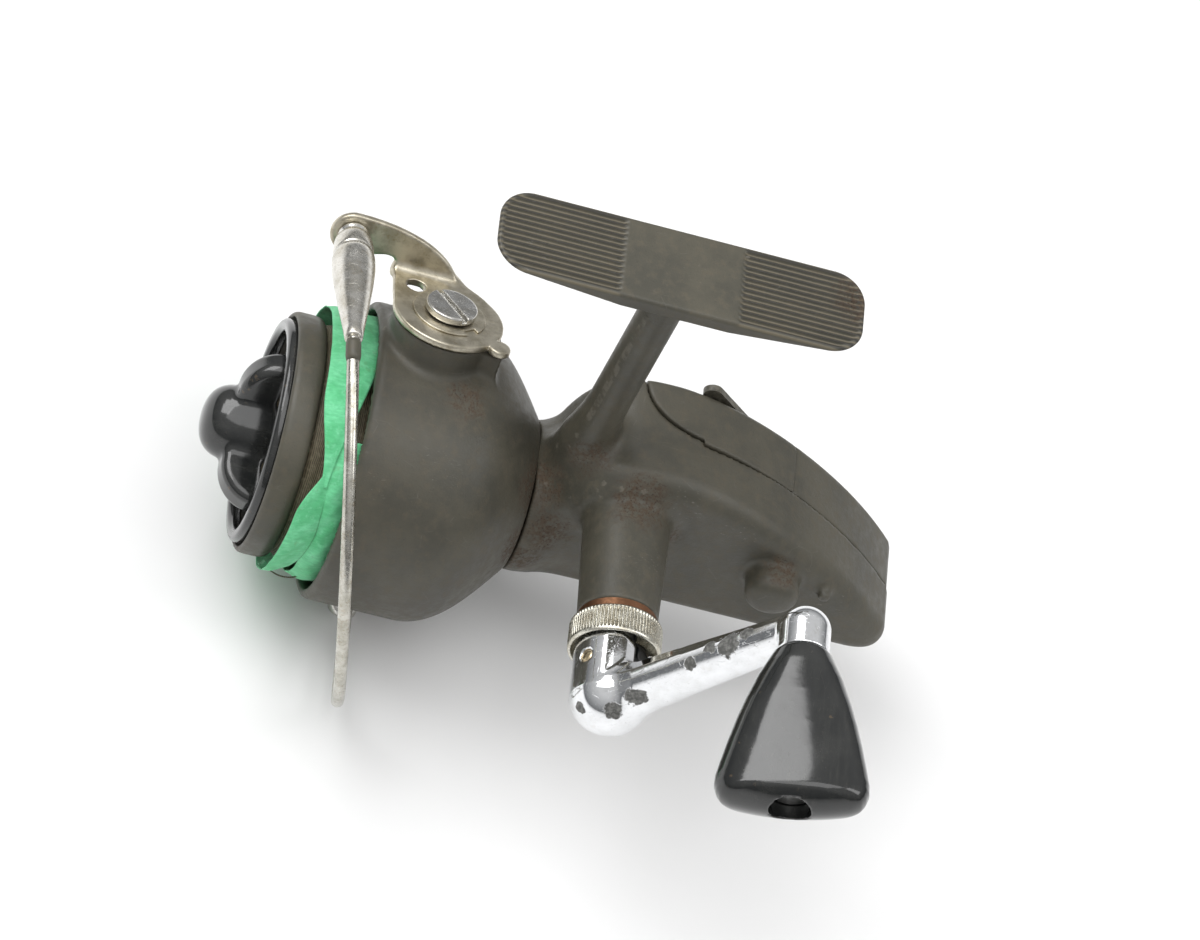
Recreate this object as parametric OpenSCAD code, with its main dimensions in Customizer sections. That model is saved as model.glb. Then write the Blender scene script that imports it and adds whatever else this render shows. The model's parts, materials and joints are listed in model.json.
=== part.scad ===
// Open-face spinning reel with a folding crank, a full bail and a front drag.
// Every shape is drawn in the reel's own axes, whose origin is the centre of the
// rotor's rim: +X to the rod tip along the spool shaft, +Y to the handle side and
// +Z to the foot. module reel() then moves it, so that the part's origin is the
// centre of the foot's seat.

/* [Foot and stem] */
// Height of the foot's seat above the spool shaft
seat_height = 72.4; // [60:0.1:90]
// Distance of the stem behind the rotor's rim
stem_back = 38; // [37.8:0.1:40]
// Length of the foot
foot_length = 61.4; // [50:0.1:70]
// Width of the foot
foot_width = 15.6; // [12:0.1:17]
// Thickness of the foot over the stem
foot_thick = 4; // [3:0.1:5]
// Thickness of the foot at its two ends
foot_tip_thick = 1.4; // [1.2:0.1:2]
// Length of the smooth pad between the two ribbed ends
foot_pad = 20; // [10:1:30]
// Number of ribs' grooves at each end
foot_grooves = 13; // [4:1:13]
// Diameter of the stem
stem_d = 6.9; // [5:0.1:8]

/* [Casing] */
// Handle-side face of the casing
side_y = 9.5; // [9.4:0.1:11]
// Far-side face of the casing
far_y = -11.7; // [-12:0.1:-10.8]
// Position of the joint between casing and cover
seam_y = -1.6; // [-2:0.1:0]
// Wall thickness
wall = 1.6; // [1.4:0.1:1.7]
// Radius of the neck behind the rotor
neck_r = 12.9; // [12:0.1:13.2]
// Far end of the handle boss
boss_end = 29.7; // [29:0.1:31]

/* [Handle] */
// Distance of the handle shaft behind the rotor's rim
handle_back = 47.7; // [47:0.1:48]
// Height of the handle shaft above the spool shaft
handle_up = 14.8; // [14.8:0.1:14.8]
// Radius of the handle shaft
handle_shaft_r = 3.5; // [3:0.1:3.6]
// Outer radius of the knurled collar
collar_r = 7.75; // [7.5:0.05:8]
// Position of the crank's fold pin along the handle shaft
pin_y = 40.3; // [40.2:0.1:42]
// Radius of the crank's fork
fork_r = 6.6; // [6:0.1:6.8]
// Distance between the handle shaft and the knob's spindle
crank_throw = 41; // [35:1:45]
// Angle of the crank arm from the tail towards the foot
crank_angle = 57.5; // [0:0.1:90]
// Widest width of the knob
knob_width = 24.6; // [20:0.1:28]
// Thickness of the knob
knob_thick = 10.8; // [8:0.1:14]
// Outer end of the knob
knob_end = 80.3; // [75:0.1:85]

/* [Gears] */
// Teeth of the wheel on the handle shaft
wheel_teeth = 20; // [20:1:20]
// Starts of the worm on the rotor tube
worm_starts = 6; // [6:1:6]
// Pitch radius of the wheel
wheel_r = 7.9; // [7.9:0.1:7.9]
// Throw of the eccentric pin that strokes the spool
stroke_throw = 3.5; // [3:0.1:3.5]

/* [Rotor and bail] */
// Outer radius of the rotor cup
rotor_r = 25.7; // [25:0.1:26]
// Wall of the rotor cup
rotor_wall = 1.6; // [1.4:0.1:1.7]
// Distance of the bail's pivots behind the rotor's rim
pivot_back = 10.3; // [10:0.1:13]
// Tilt of the bail's pivot line from the stem's direction
bail_tilt = 23; // [0:1:45]
// Radius of the bail wire's arc
bail_r = 42.6; // [42:0.1:42.8]
// Diameter of the bail wire
bail_wire_d = 2.1; // [1.8:0.1:2.4]

/* [Spool and drag] */
// Radius of the spool's front flange
flange_r = 20.8; // [20:0.1:22]
// Radius of the spool's rear flange
rear_flange_r = 22; // [21:0.1:22.5]
// Front face of the spool
spool_front = 12.5; // [12:0.1:13]
// Tip of the drag knob
drag_tip = 23.5; // [22:0.1:24]
// Number of lobes on the drag knob
drag_lobes = 3; // [3:1:5]

/* [Hidden] */

$fn = 96;
eps = 0.01;
olive = [0.27, 0.25, 0.21];
black = [0.06, 0.06, 0.06];
nickel = [0.74, 0.71, 0.64];
chrome = [0.86, 0.87, 0.88];
steel = [0.62, 0.62, 0.62];
brass = [0.72, 0.58, 0.32];
bronze = [0.45, 0.28, 0.18];

gap = 0.3;                 // between bodies that pass each other
run = 0.04;                // radial play of a running fit
shaft_r = 2.5;             // spool shaft
tube_r = 4;                // rotor tube
bearing_r = 8;             // ball bearing's outer ring
bearing_w = 4;
neck_front = -32.2;
bearing_front = -33.6;
bush_r = 5.2;              // bushes of the handle shaft
boss_base_r = 7.3;
boss_tip_r = 6.7;
ratchet_r = 8;
collar_back = 31.4;
collar_front = 36.5;
recess_r = collar_r - 0.6;
recess_y = 33.3;
tongue_t = 3;
slot_w = tongue_t + 2 * gap;
tongue_r = 4.5;
pin_r = 1.25;
elbow_y = 45.1;
end_boss_r = 4.25;
end_boss_back = 42.3;
end_boss_front = 50.9;
knob_back = end_boss_front + gap;
rivet_r = 1.8;
lever_back = 75.5;         // anti-reverse shaft
lever_up = 8.3;
lever_shaft_r = 1.5;
lever_reach = 25.7;
lever_angle = 42.3;
pawl_reach = 21.5;
pawl_angle = 35.1;
worm_r = handle_up - wheel_r;
tooth_add = 0.5;
tooth_ded = 0.8;
worm_back = -55;
worm_front = -41;
worm_lead = 2 * PI * wheel_r * worm_starts / wheel_teeth;
wheel_half = 3;
wheel_helix = atan(worm_lead / (2 * PI * worm_r));
ear_top = 29.4;
plate_t = 1.3;
plate_low = ear_top + gap;
plate_top = plate_low + plate_t;
washer_top = plate_top + 0.3;
fold_h = -10.9;            // flange of the bail arm
roller_f = 17.7;            // line roller's place ahead of the pivots
roller_s = 35;
bolt_seat = 27;
eye_t = 1.8;
spool_bore = shaft_r + run;

// Moves the reel's own axes to the centre of the foot's seat
module reel() translate([stem_back, 0, -seat_height]) children();
// Stands a shape drawn along +Z on the spool shaft, pointing forward
module along_x() rotate([0, 90, 0]) children();
// Stands a shape drawn along +Z on the handle side's direction
module along_y(x, z) translate([x, 0, z]) rotate([-90, 0, 0]) children();
module on_handle() along_y(-handle_back, handle_up) children();
module on_lever() along_y(-lever_back, lever_up) children();
// Bail axes: X forward, Y to the bail's bulge, Z along the pivots
module on_bail() rotate([bail_tilt, 0, 0]) translate([-pivot_back, 0, 0]) children();
// Crank axes, seen from the handle side: X along the arm, Z along the handle shaft
module on_crank() on_handle() rotate([0, 0, 180 + crank_angle]) children();

// Solid of revolution about the spool shaft from [x, r] points
module turned(points) along_x() rotate_extrude() polygon([for (p = points) [p[1], p[0]]]);
// Tube about the local Z axis
module tube(z0, z1, ro, ri) translate([0, 0, z0]) difference() {
  cylinder(h = z1 - z0, r = ro);
  translate([0, 0, -eps]) cylinder(h = z1 - z0 + 2 * eps, r = ri);
}
function bezier(a, b, c, d, t) =
  pow(1 - t, 3) * a + 3 * pow(1 - t, 2) * t * b + 3 * (1 - t) * t * t * c + t * t * t * d;
function curve(a, b, c, d, n) = [for (i = [0:n]) bezier(a, b, c, d, i / n)];

// Side view of the casing, [x, z]
casing_outline = concat(
  [[-35, -8.5]],
  curve([-34.6, 4], [-35.5, 16.5], [-38, 26], [-50, 26], 12),
  curve([-52, 26], [-64, 25], [-84, 15.5], [-98.9, -2.5], 14),
  curve([-99.6, -4], [-100.4, -7], [-98, -9.5], [-93.5, -9.5], 6),
  [[-36, -9.5]]);

module casing_slice(inset, y, t) translate([0, y + t, 0]) rotate([90, 0, 0])
  linear_extrude(t) offset(delta = -inset) polygon(casing_outline);

// Casing with rounded shoulders
module casing_solid() hull() {
  casing_slice(0, far_y + 1.6, side_y - far_y - 4.6);
  casing_slice(0.5, far_y + 0.5, side_y - far_y - 1.8);
  casing_slice(1.6, far_y, side_y - far_y - 0.7);
  casing_slice(3, far_y + 1, side_y - far_y - 1);
}

cavity_front = -38.7;
module casing_cavity() difference() {
  union() {
    casing_slice(wall, far_y + wall, side_y - far_y - 2 * wall);
    on_handle() translate([0, 0, far_y + wall])
      cylinder(h = side_y - far_y - 2 * wall, r = wheel_r + tooth_add + gap + 0.05);
  }
  translate([cavity_front, -20, -20]) cube([10, 40, 60]);
}

// Space that the cover takes: all of the far side, apart from the stem's root
module cover_space() {
  translate([-110, -30, -20]) cube([110 - 40.5, 30 + seam_y, 20 + 17.5]);
  translate([-110, -30, 17]) cube([110 - 57, 30 + seam_y, 20]);
  translate([0, 0, 17]) linear_extrude(20) intersection() {
    translate([-57, far_y]) scale([11, seam_y - far_y]) circle(r = 1, $fn = 64);
    translate([-57.5, far_y - 5]) square([20, 20]);
  }
  translate([-58, -30, 17]) cube([12, 30 + far_y, 20]);
}

screw_places = [[-90, -6], [-82, 8], [-66, -6.8]];

module screw_posts() for (p = screw_places)
  along_y(p[0], p[1]) translate([0, 0, seam_y + gap]) cylinder(h = side_y - seam_y - 1.2, r = 2.3);

module rounded_bar(l, w, r) {
  square([l - 2 * r, w], center = true);
  square([l, w - 2 * r], center = true);
  for (sx = [-1, 1], sy = [-1, 1]) translate([sx * (l / 2 - r), sy * (w / 2 - r)]) circle(r = r);
}

groove_pitch = (foot_width - 1.6) / foot_grooves;
module foot() translate([-stem_back, 0, seat_height]) difference() {
  intersection() {
    translate([0, 0, -foot_thick]) linear_extrude(foot_thick) rounded_bar(foot_length, foot_width, 5.5);
    rotate([90, 0, 0]) linear_extrude(foot_width + 2, center = true) polygon([
      [-foot_length / 2, 0], [foot_length / 2, 0], [foot_length / 2, -foot_tip_thick],
      [9, -foot_thick], [-9, -foot_thick], [-foot_length / 2, -foot_tip_thick]]);
  }
  for (end = [-1, 1], i = [0:foot_grooves - 1])
    translate([end * (foot_pad / 2 + 11), (i - (foot_grooves - 1) / 2) * groove_pitch, 0])
      rotate([45, 0, 0]) cube([22, 0.45, 0.45], center = true);
}

stem_base = 10;
module stem() translate([-stem_back, 0, 0]) rotate_extrude() polygon(concat(
  [[0, stem_base], [3.6, stem_base], [4.3, 17]],
  curve([4.6, 20.5], [4.3, 23.5], [stem_d / 2, 25], [stem_d / 2, 30], 6),
  [[stem_d / 2, 62]],
  curve([stem_d / 2, 64], [stem_d / 2, 67], [4.3, 68.2], [5.8, seat_height - foot_thick + 0.3], 5),
  [[0, seat_height - foot_thick + 0.3]]));

module neck() turned(concat(
  [[neck_front, 0], [neck_front, neck_r]],
  curve([-34, neck_r], [-35.5, neck_r], [-37.5, 10.8], [-40.5, 9.4], 6),
  [[-40.5, 0]]));

module gear_housing() color(olive) reel() difference() {
  union() {
    difference() {
      union() {
        casing_solid();
        neck();
        stem();
      }
      casing_cavity();
      cover_space();
    }
    foot();
    // Handle boss with its filleted root
    difference() {
      on_handle() rotate_extrude() polygon(concat(
        [[0, side_y - 1.2], [8.9, side_y - 1.2], [8.9, side_y - 0.2]],
        curve([8.7, side_y], [7.7, side_y + 0.3], [boss_base_r, side_y + 1.2], [boss_base_r, side_y + 3], 5),
        [[boss_tip_r, boss_end], [0, boss_end]]));
      on_handle() translate([0, 0, side_y - wall - 1]) cylinder(h = 2 + eps, r = bush_r);
    }
    // Blind boss of the anti-reverse shaft and the small nub behind it
    on_lever() rotate_extrude() polygon(concat(
      [[0, side_y - 1.4], [4.9, side_y - 1.4]],
      curve([4.6, side_y + 0.4], [4.6, 13.6], [4.4, 15.2], [0, 15.4], 8)));
    along_y(-85, 7.3) translate([0, 0, side_y - 3.4]) cylinder(h = 5.1, r1 = 1.4, r2 = 0.9);
    // Lugs that carry the bushes
    translate([-59.5, -4, -6.2]) cube([2.6, side_y - wall + 4.2, 12.4]);
    translate([-84, -3.2, -5]) cube([4, side_y - wall + 3.4, 10]);
    intersection() {
      screw_posts();
      casing_slice(wall / 2, seam_y + eps, side_y - seam_y - 0.6);
    }
  }
  // Bearing pocket, tube passage and bush seats
  along_x() translate([0, 0, bearing_front - bearing_w]) cylinder(h = 12, r = bearing_r);
  along_x() translate([0, 0, -41]) cylinder(h = 5, r = tube_r + 1.4);
  along_x() translate([0, 0, -60]) cylinder(h = 4, r = 5.4);
  along_x() translate([0, 0, -85]) cylinder(h = 6, r = 4);
  on_handle() translate([0, 0, side_y - wall - 1]) cylinder(h = 30, r = bush_r);
  on_lever() translate([0, 0, side_y - 3]) cylinder(h = 6.6, r = lever_shaft_r + run);
  for (p = screw_places)
    along_y(p[0], p[1]) translate([0, 0, seam_y - 1]) cylinder(h = 8.1, r = 1.1);
}

module side_cover() color(olive) reel() difference() {
  intersection() {
    difference() {
      casing_solid();
      casing_cavity();
    }
    cover_space();
  }
  on_lever() translate([0, 0, far_y - 1]) cylinder(h = 6, r = lever_shaft_r + run);
  for (p = screw_places) along_y(p[0], p[1]) {
    translate([0, 0, far_y - 1]) cylinder(h = 6, r = 1.4);
    translate([0, 0, far_y - 1]) cylinder(h = 1.8, r = 2.4);
  }
}

// Cheese-head screws, their heads sunk in the cover
module cover_screws() color(steel) reel() for (p = screw_places) along_y(p[0], p[1])
  difference() {
    union() {
      translate([0, 0, far_y + 0.1]) cylinder(h = 0.7, r = 2.3);
      translate([0, 0, far_y + 0.1]) cylinder(h = 13, r = 1.1);
    }
    translate([-3, -0.3, far_y - 0.6]) cube([6, 0.6, 1.1]);
  }

module front_bearing() color(steel) reel() along_x() translate([0, 0, bearing_front - bearing_w]) {
  difference() {
    cylinder(h = bearing_w, r = bearing_r);
    translate([0, 0, -eps]) cylinder(h = bearing_w + 2 * eps, r = tube_r + run);
    for (z = [-eps, bearing_w - 0.8]) translate([0, 0, z]) difference() {
      cylinder(h = 0.8 + eps, r = 6.7);
      translate([0, 0, -1]) cylinder(h = 3, r = 5.2);
    }
  }
}

module bearing_retainer() color(steel) reel()
  along_x() tube(bearing_front, neck_front - 0.2, bearing_r, 6.9);
module rotor_rear_bush() color(bronze) reel() along_x() tube(-59.5, -56.9, 5.4, tube_r - 0.5 + run);
module shaft_rear_bush() color(bronze) reel() along_x() tube(-84, -80, 4, spool_bore);

module handle_bush_outer() color(bronze) reel() on_handle() {
  tube(20, boss_end, bush_r, handle_shaft_r + run);
  tube(boss_end, boss_end + 1.3, boss_tip_r - 0.1, handle_shaft_r + run);
}
module handle_bush_inner() color(bronze) reel()
  on_handle() tube(side_y - wall, 16, bush_r, handle_shaft_r + run);

// Shaft with a flat tongue at its end, which the crank's fork folds on
module handle_shaft() color(steel) reel() {
  difference() {
    union() {
      on_handle() translate([0, 0, -wheel_half]) cylinder(h = pin_y - 4.2 + wheel_half, r = handle_shaft_r);
      on_crank() translate([0, 0, pin_y]) rotate([90, 0, 0])
        cylinder(h = tongue_t, r = tongue_r, center = true);
      on_crank() translate([-handle_shaft_r, -tongue_t / 2, pin_y - 5.2])
        cube([2 * handle_shaft_r, tongue_t, 5.2]);
    }
    on_crank() translate([0, 0, pin_y]) rotate([90, 0, 0]) cylinder(h = 20, r = pin_r + run, center = true);
    // Flats that thin the shaft below the fold pin
    for (side = [-1, 1]) on_crank() translate([-10, side * (tongue_t / 2 + 5) - 5, recess_y + 0.2]) cube([20, 10, 10]);
  }
}

// Toothed outline with thin, flat-topped teeth
function tooth_points(n, r, add, ded, root, tip) = [for (i = [0:n - 1])
  for (k = [[-root, -ded], [-tip, add], [tip, add], [root, -ded]])
    let (a = 360 * (i + k[0]) / n) (r + k[1]) * [cos(a), sin(a)]];

// Angle that the wheel's teeth turn through across its width
wheel_turn = 2 * wheel_half * tan(wheel_helix) / wheel_r * 180 / PI;
module drive_gear() color(brass) reel() on_handle() difference() {
  rotate([0, 0, -90]) translate([0, 0, -wheel_half]) rotate([0, 0, -wheel_turn / 2])
    linear_extrude(2 * wheel_half, twist = -wheel_turn, slices = 6, $fn = 80)
      polygon(tooth_points(wheel_teeth, wheel_r, tooth_add, tooth_ded, 0.27, 0.12));
  translate([0, 0, -wheel_half - 1]) cylinder(h = 2 * wheel_half + 2, r = handle_shaft_r);
}

module eccentric_pin() color(steel) reel() on_handle()
  rotate([0, 0, 90]) translate([stroke_throw, 0, -5.6]) cylinder(h = 5.6 - wheel_half, r = 1.3);

module ratchet_wheel() color(steel) reel() on_handle() difference() {
  translate([0, 0, 3.4]) linear_extrude(2) polygon([for (i = [0:11])
    for (k = [[0, ratchet_r], [0.08, ratchet_r], [0.95, ratchet_r - 1.3]])
      let (a = 30 * (i + k[0])) k[1] * [cos(a), sin(a)]]);
  translate([0, 0, 3]) cylinder(h = 3, r = handle_shaft_r);
}

module lock_collar() color(nickel) reel() on_handle() {
  knurls = 60;
  difference() {
    translate([0, 0, collar_back]) cylinder(h = collar_front - collar_back, r = collar_r);
    translate([0, 0, collar_back - 1]) cylinder(h = 10, r = handle_shaft_r + run);
    translate([0, 0, recess_y]) cylinder(h = 10, r = recess_r);
    for (i = [0:knurls - 1]) rotate([0, 0, i * 360 / knurls])
      translate([collar_r, 0, collar_back + 0.5]) rotate([0, 0, 45])
        translate([-0.14, -0.14, 0]) cube([0.6, 0.6, collar_front - collar_back - 1]);
  }
}

// Crank in one casting: fork, elbow, tapered arm and end boss
module crank_arm() color(chrome) reel() on_crank() difference() {
  union() {
    intersection() {
      translate([0, 0, pin_y - fork_r]) cylinder(h = elbow_y - pin_y + fork_r, r = fork_r);
      // Heel rounded about the fold pin
      union() {
        intersection() {
          translate([0, 0, pin_y]) rotate([90, 0, 0]) cylinder(h = 20, r = fork_r, center = true);
          translate([0, 0, pin_y]) sphere(r = fork_r + 0.6);
        }
        translate([-10, -10, pin_y]) cube([20, 20, 20]);
      }
    }
    translate([0, 0, elbow_y]) scale([1, 1, 0.93]) sphere(r = fork_r, $fn = 48);
    hull() {
      translate([0, 0, elbow_y]) rotate([0, 90, 0]) cylinder(h = 0.1, r = 5.2, $fn = 32);
      translate([9, 0, elbow_y + 0.3]) rotate([0, 90, 0]) scale([0.78, 1]) cylinder(h = 0.1, r = 4.1, $fn = 32);
      translate([crank_throw, 0, elbow_y + 0.7]) rotate([0, 90, 0])
        scale([0.8, 1]) cylinder(h = 0.1, r = 3.1, $fn = 32);
    }
    translate([crank_throw, 0, 0]) rotate_extrude() polygon(concat(
      [[0, end_boss_back]],
      curve([0.6, end_boss_back], [2.8, end_boss_back], [end_boss_r, end_boss_back + 0.8],
        [end_boss_r, end_boss_back + 3], 6),
      [[end_boss_r, end_boss_front], [0, end_boss_front]]));
  }
  // Slot of the fork: open at both sides below the arm, and to the elbow at the back
  translate([-12, -slot_w / 2, 30]) cube([12 + tongue_r + gap, slot_w, pin_y + tongue_r + gap - 30]);
  translate([0, -slot_w / 2, 30]) cube([8.5, slot_w, pin_y - 28.6]);
  translate([0, 0, pin_y]) rotate([90, 0, 0]) cylinder(h = 20, r = pin_r, center = true);
  translate([crank_throw, 0, 44.2]) cylinder(h = 10, r = rivet_r);
}

module fold_pin() color(brass) reel() on_crank()
  translate([0, 0, pin_y]) rotate([90, 0, 0]) cylinder(h = 2 * fork_r - 0.5, r = pin_r, center = true);

// Half widths of the knob across and through it, at heights along its spindle
knob_rings = [[0, 5.1, 4.9], [3, 5.6, 5.2], [9, 7.9, 5.35], [15, 10.4, 5.4], [20, 12, 5.4],
  [23.5, 12.3, 5.3], [26.5, 11.3, 5.1], [28.3, 9.3, 4.8], [29.1, 7.4, 4.4]];
knob_turn = -39;
module handle_knob() color(black) reel() on_crank() translate([crank_throw, 0, knob_back])
  rotate([0, 0, knob_turn]) difference() {
    hull() for (k = knob_rings) translate([0, 0, k[0] * (knob_end - knob_back) / 29.1 - eps])
      linear_extrude(eps) scale([k[1] * knob_width / 24.6, k[2] * knob_thick / 10.8]) circle(r = 1, $fn = 32);
    translate([0, 0, -1]) cylinder(h = 40, r = rivet_r + run);
    translate([0, 0, knob_end - knob_back - 5.5]) cylinder(h = 8, r = 3.5);
  }

module knob_rivet() color(steel) reel() on_crank() translate([crank_throw, 0, 0]) {
  translate([0, 0, 44.2]) cylinder(h = knob_end - 5 - 44.2, r = rivet_r);
  translate([0, 0, knob_end - 5.5 + gap]) cylinder(h = 1.6, r = 3.1);
}

module anti_reverse_lever() color(nickel) reel() on_lever() difference() {
  translate([0, 0, far_y - 1.5]) linear_extrude(1.2) union() {
    circle(r = 3.4);
    rotate([0, 0, -lever_angle]) {
      translate([0, -1.7]) square([lever_reach - 1.7, 3.4]);
      translate([lever_reach - 1.7, 0]) circle(r = 1.7);
    }
  }
  translate([0, 0, far_y - 3]) cylinder(h = 4, r = lever_shaft_r);
}
module anti_reverse_shaft() color(steel) reel() on_lever()
  translate([0, 0, far_y - 2]) cylinder(h = 24.6, r = lever_shaft_r);
module anti_reverse_pawl() color(steel) reel() on_lever() difference() {
  translate([0, 0, 3.4]) linear_extrude(1.8) union() {
    circle(r = 2.8);
    rotate([0, 0, -pawl_angle]) polygon([[0, -1.3], [pawl_reach, -0.5], [pawl_reach, 0.5], [0, 1.3]]);
  }
  translate([0, 0, 3]) cylinder(h = 4, r = lever_shaft_r);
}

// Outside and inside of the cup, [x, r] from the rim to the back
cup_outside = concat([[-0.4, rotor_r - 0.5], [-1.1, rotor_r]],
  curve([-16, rotor_r], [-23.5, rotor_r], [-27, 19.5], [-31.8, 13.5], 12));
cup_inside = concat([[-29.5, 11.5]],
  curve([-29.4, 12.5], [-25.5, 18.5], [-22.5, rotor_r - rotor_wall], [-16, rotor_r - rotor_wall], 10));

module rotor_cup() color(olive) reel() difference() {
  union() {
    turned(concat(cup_outside, [[-31.8, 0], [-29.5, 0]], cup_inside,
      [[-0.3, rotor_r - rotor_wall], [0, rotor_r - 1.1]]));
    on_bail() difference() {
      union() {
        translate([0, 0, 20]) cylinder(h = ear_top - 20, r = 9);
        translate([-9.6, -6.4, 20]) cube([6, 12.8, ear_top - 20.6]);
        rotate([180, 0, 0]) translate([0, 0, 20]) cylinder(h = bolt_seat - 20, r = 4.6);
      }
      rotate([-bail_tilt, 0, 0]) translate([-20, 0, 0]) along_x()
        cylinder(h = 50, r = rotor_r - rotor_wall);
    }
  }
  along_x() translate([0, 0, -35]) cylinder(h = 10, r = tube_r);
  on_bail() {
    translate([0, 0, ear_top - 2.4]) difference() {
      cylinder(h = 5, r = 6.3);
      cylinder(h = 5, r = 3.2);
    }
    translate([0, 0, 20]) cylinder(h = 12, r = 1.9);
    rotate([180, 0, 0]) translate([0, 0, 20]) cylinder(h = 12, r = 1.4);
  }
  trip_place() translate([0, 0, -6]) cylinder(h = 6, r = 1.2);
}

// Turns the worm so that a gap between its threads meets the wheel's lowest tooth
worm_phase = 180 - 180 / worm_starts - 360 * (-handle_back - worm_back) / worm_lead;
module rotor_worm() color(brass) reel() along_x() difference() {
  union() {
    translate([0, 0, worm_back]) rotate([0, 0, worm_phase]) linear_extrude(worm_front - worm_back,
        twist = -360 * (worm_front - worm_back) / worm_lead, slices = 40, $fn = 24)
      polygon(tooth_points(worm_starts, worm_r, tooth_add, tooth_ded, 0.27, 0.12));
    translate([0, 0, -60]) cylinder(h = 60 + worm_back, r = tube_r - 0.5);
    translate([0, 0, worm_front]) cylinder(h = -25.4 - worm_front, r = tube_r);
  }
  translate([0, 0, -61]) cylinder(h = 50, r = spool_bore);
}

module rotor_nut() color(brass) reel() along_x() difference() {
  translate([0, 0, -29.5]) cylinder(h = 3.6, r = 6.6, $fn = 6);
  translate([0, 0, -31]) cylinder(h = 8, r = tube_r);
}

// Cast weight opposite the bail arm
module balance_weight() color(steel) reel() rotate([bail_tilt, 0, 0]) along_x()
  translate([0, 0, -29.5]) rotate([0, 0, -35]) rotate_extrude(angle = 70)
    translate([8, 0]) square([3.4, 6]);

module bail_pivot_screw() color(nickel) reel() on_bail() difference() {
  union() {
    translate([0, 0, ear_top - 3.5]) cylinder(h = 4, r = 1.9);
    translate([0, 0, ear_top]) cylinder(h = 3.2, r = 2.6);
    translate([0, 0, washer_top + gap]) cylinder(h = 1.0, r = 4.4);
    translate([0, 0, washer_top + gap + 1.0]) cylinder(h = 0.4, r1 = 4.4, r2 = 4);
  }
  rotate([0, 0, 121]) translate([-6, -0.55, washer_top + gap + 0.6]) cube([12, 1.1, 2]);
}

module rear_pivot_bolt() color(steel) reel() on_bail() rotate([180, 0, 0]) {
  translate([0, 0, 24.5]) cylinder(h = 6, r = 1.4);
  translate([0, 0, bolt_seat]) cylinder(h = eye_t + 2 * gap + eps, r = 1.7);
  translate([0, 0, bolt_seat + eye_t + 2 * gap]) cylinder(h = 2.4, r = 2.5);
}

// Torsion spring coiled in the ear
module bail_spring() color(steel) reel() on_bail()
  for (i = [0:2]) translate([0, 0, ear_top - 1.9 + 0.7 * i]) rotate_extrude() translate([4.7, 0]) circle(r = 0.38, $fn = 16);

// Place of the bail's trip lever on the cup's floor
module trip_place() rotate([bail_tilt + 62, 0, 0]) translate([-27.2, 0, 10.5]) along_x() children();
module trip_lever_pin() color(steel) reel() trip_place() {
  translate([0, 0, -4]) cylinder(h = 6.2, r = 1.2);
  translate([0, 0, 2.1]) cylinder(h = 0.8, r = 2);
}
module trip_lever() color(steel) reel() trip_place() difference() {
  linear_extrude(1.8) union() {
    circle(r = 2.2);
    rotate([0, 0, 100]) translate([0, -1.1]) square([6, 2.2]);
    rotate([0, 0, -75]) translate([0, -1]) square([4.5, 2]);
  }
  translate([0, 0, -1]) cylinder(h = 8, r = 1.2 + run);
}

// Arm plate: pivot disc, hooked tail and a flange that carries the line roller
module bail_arm() color(nickel) reel() on_bail() difference() {
  union() {
    translate([0, 0, plate_low]) linear_extrude(plate_t) union() {
      circle(r = 9.3);
      polygon([[-6, -7], [-1, fold_h - 0.65], [12, fold_h - 0.65], [9.1, 0]]);
      polygon([[-9.2, 0], [-11.2, 4.6], [-8.2, 8.2], [-3.5, 8.6]]);
    }
    translate([0, fold_h + 0.65, 0]) rotate([90, 0, 0]) linear_extrude(plate_t) hull() {
      translate([roller_f, roller_s]) circle(r = 3.9, $fn = 48);
      translate([-1, plate_low]) square([13, plate_t]);
    }
  }
  translate([0, 0, plate_low - 1]) cylinder(h = 4, r = 2.6 + run);
  translate([5.6, -6.4, plate_low - 1]) cylinder(h = 4, r = 1.7);
  translate([roller_f, fold_h, roller_s]) rotate([90, 0, 0]) cylinder(h = 4, r = 1.2, center = true);
}

module pivot_washer() color(nickel) reel() on_bail() difference() {
  translate([0, 0, plate_top]) cylinder(h = washer_top - plate_top, r = 6.3);
  translate([0, 0, plate_top - 1]) cylinder(h = 3, r = 2.6 + run);
  rotate([0, 0, 130]) translate([5.2, -1.2, plate_top - 1]) cube([3, 2.4, 3]);
}

wire_lean = atan(18 / 70);       // the wire's plane leans forward to the roller
wire_half = 58.7;                // half of the wire's arc
wire_f = 8.7;
module on_wire() translate([wire_f, -1, 0]) rotate([0, wire_lean, 0]) children();

cone_end = 22;
module bail_wire() color(nickel) reel() on_bail() difference() {
  union() {
    on_wire() rotate([0, -90, 0]) rotate([0, 0, 90 - wire_half]) rotate_extrude(angle = 2 * wire_half)
      translate([bail_r, 0]) circle(d = bail_wire_d, $fn = 32);
    leg_top = [wire_f - bail_r * sin(wire_half) * sin(wire_lean), bail_r * cos(wire_half) - 1,
      -bail_r * sin(wire_half) * cos(wire_lean)];
    leg_low = [0, 2.6, -(bolt_seat + gap + eye_t / 2)];
    leg = leg_low - leg_top;
    translate(leg_top) sphere(d = bail_wire_d + 0.2, $fn = 32);
    translate(leg_top) rotate([0, 0, atan2(leg[1], leg[0])]) rotate([0, acos(leg[2] / norm(leg)), 0])
      cylinder(h = norm(leg), d = bail_wire_d);
    rotate([180, 0, 0]) translate([0, 0, bolt_seat + gap]) cylinder(h = eye_t, r = 3.4);
  }
  rotate([180, 0, 0]) translate([0, 0, bolt_seat - 3]) cylinder(h = 10, r = 1.7 + run);
}

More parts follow.
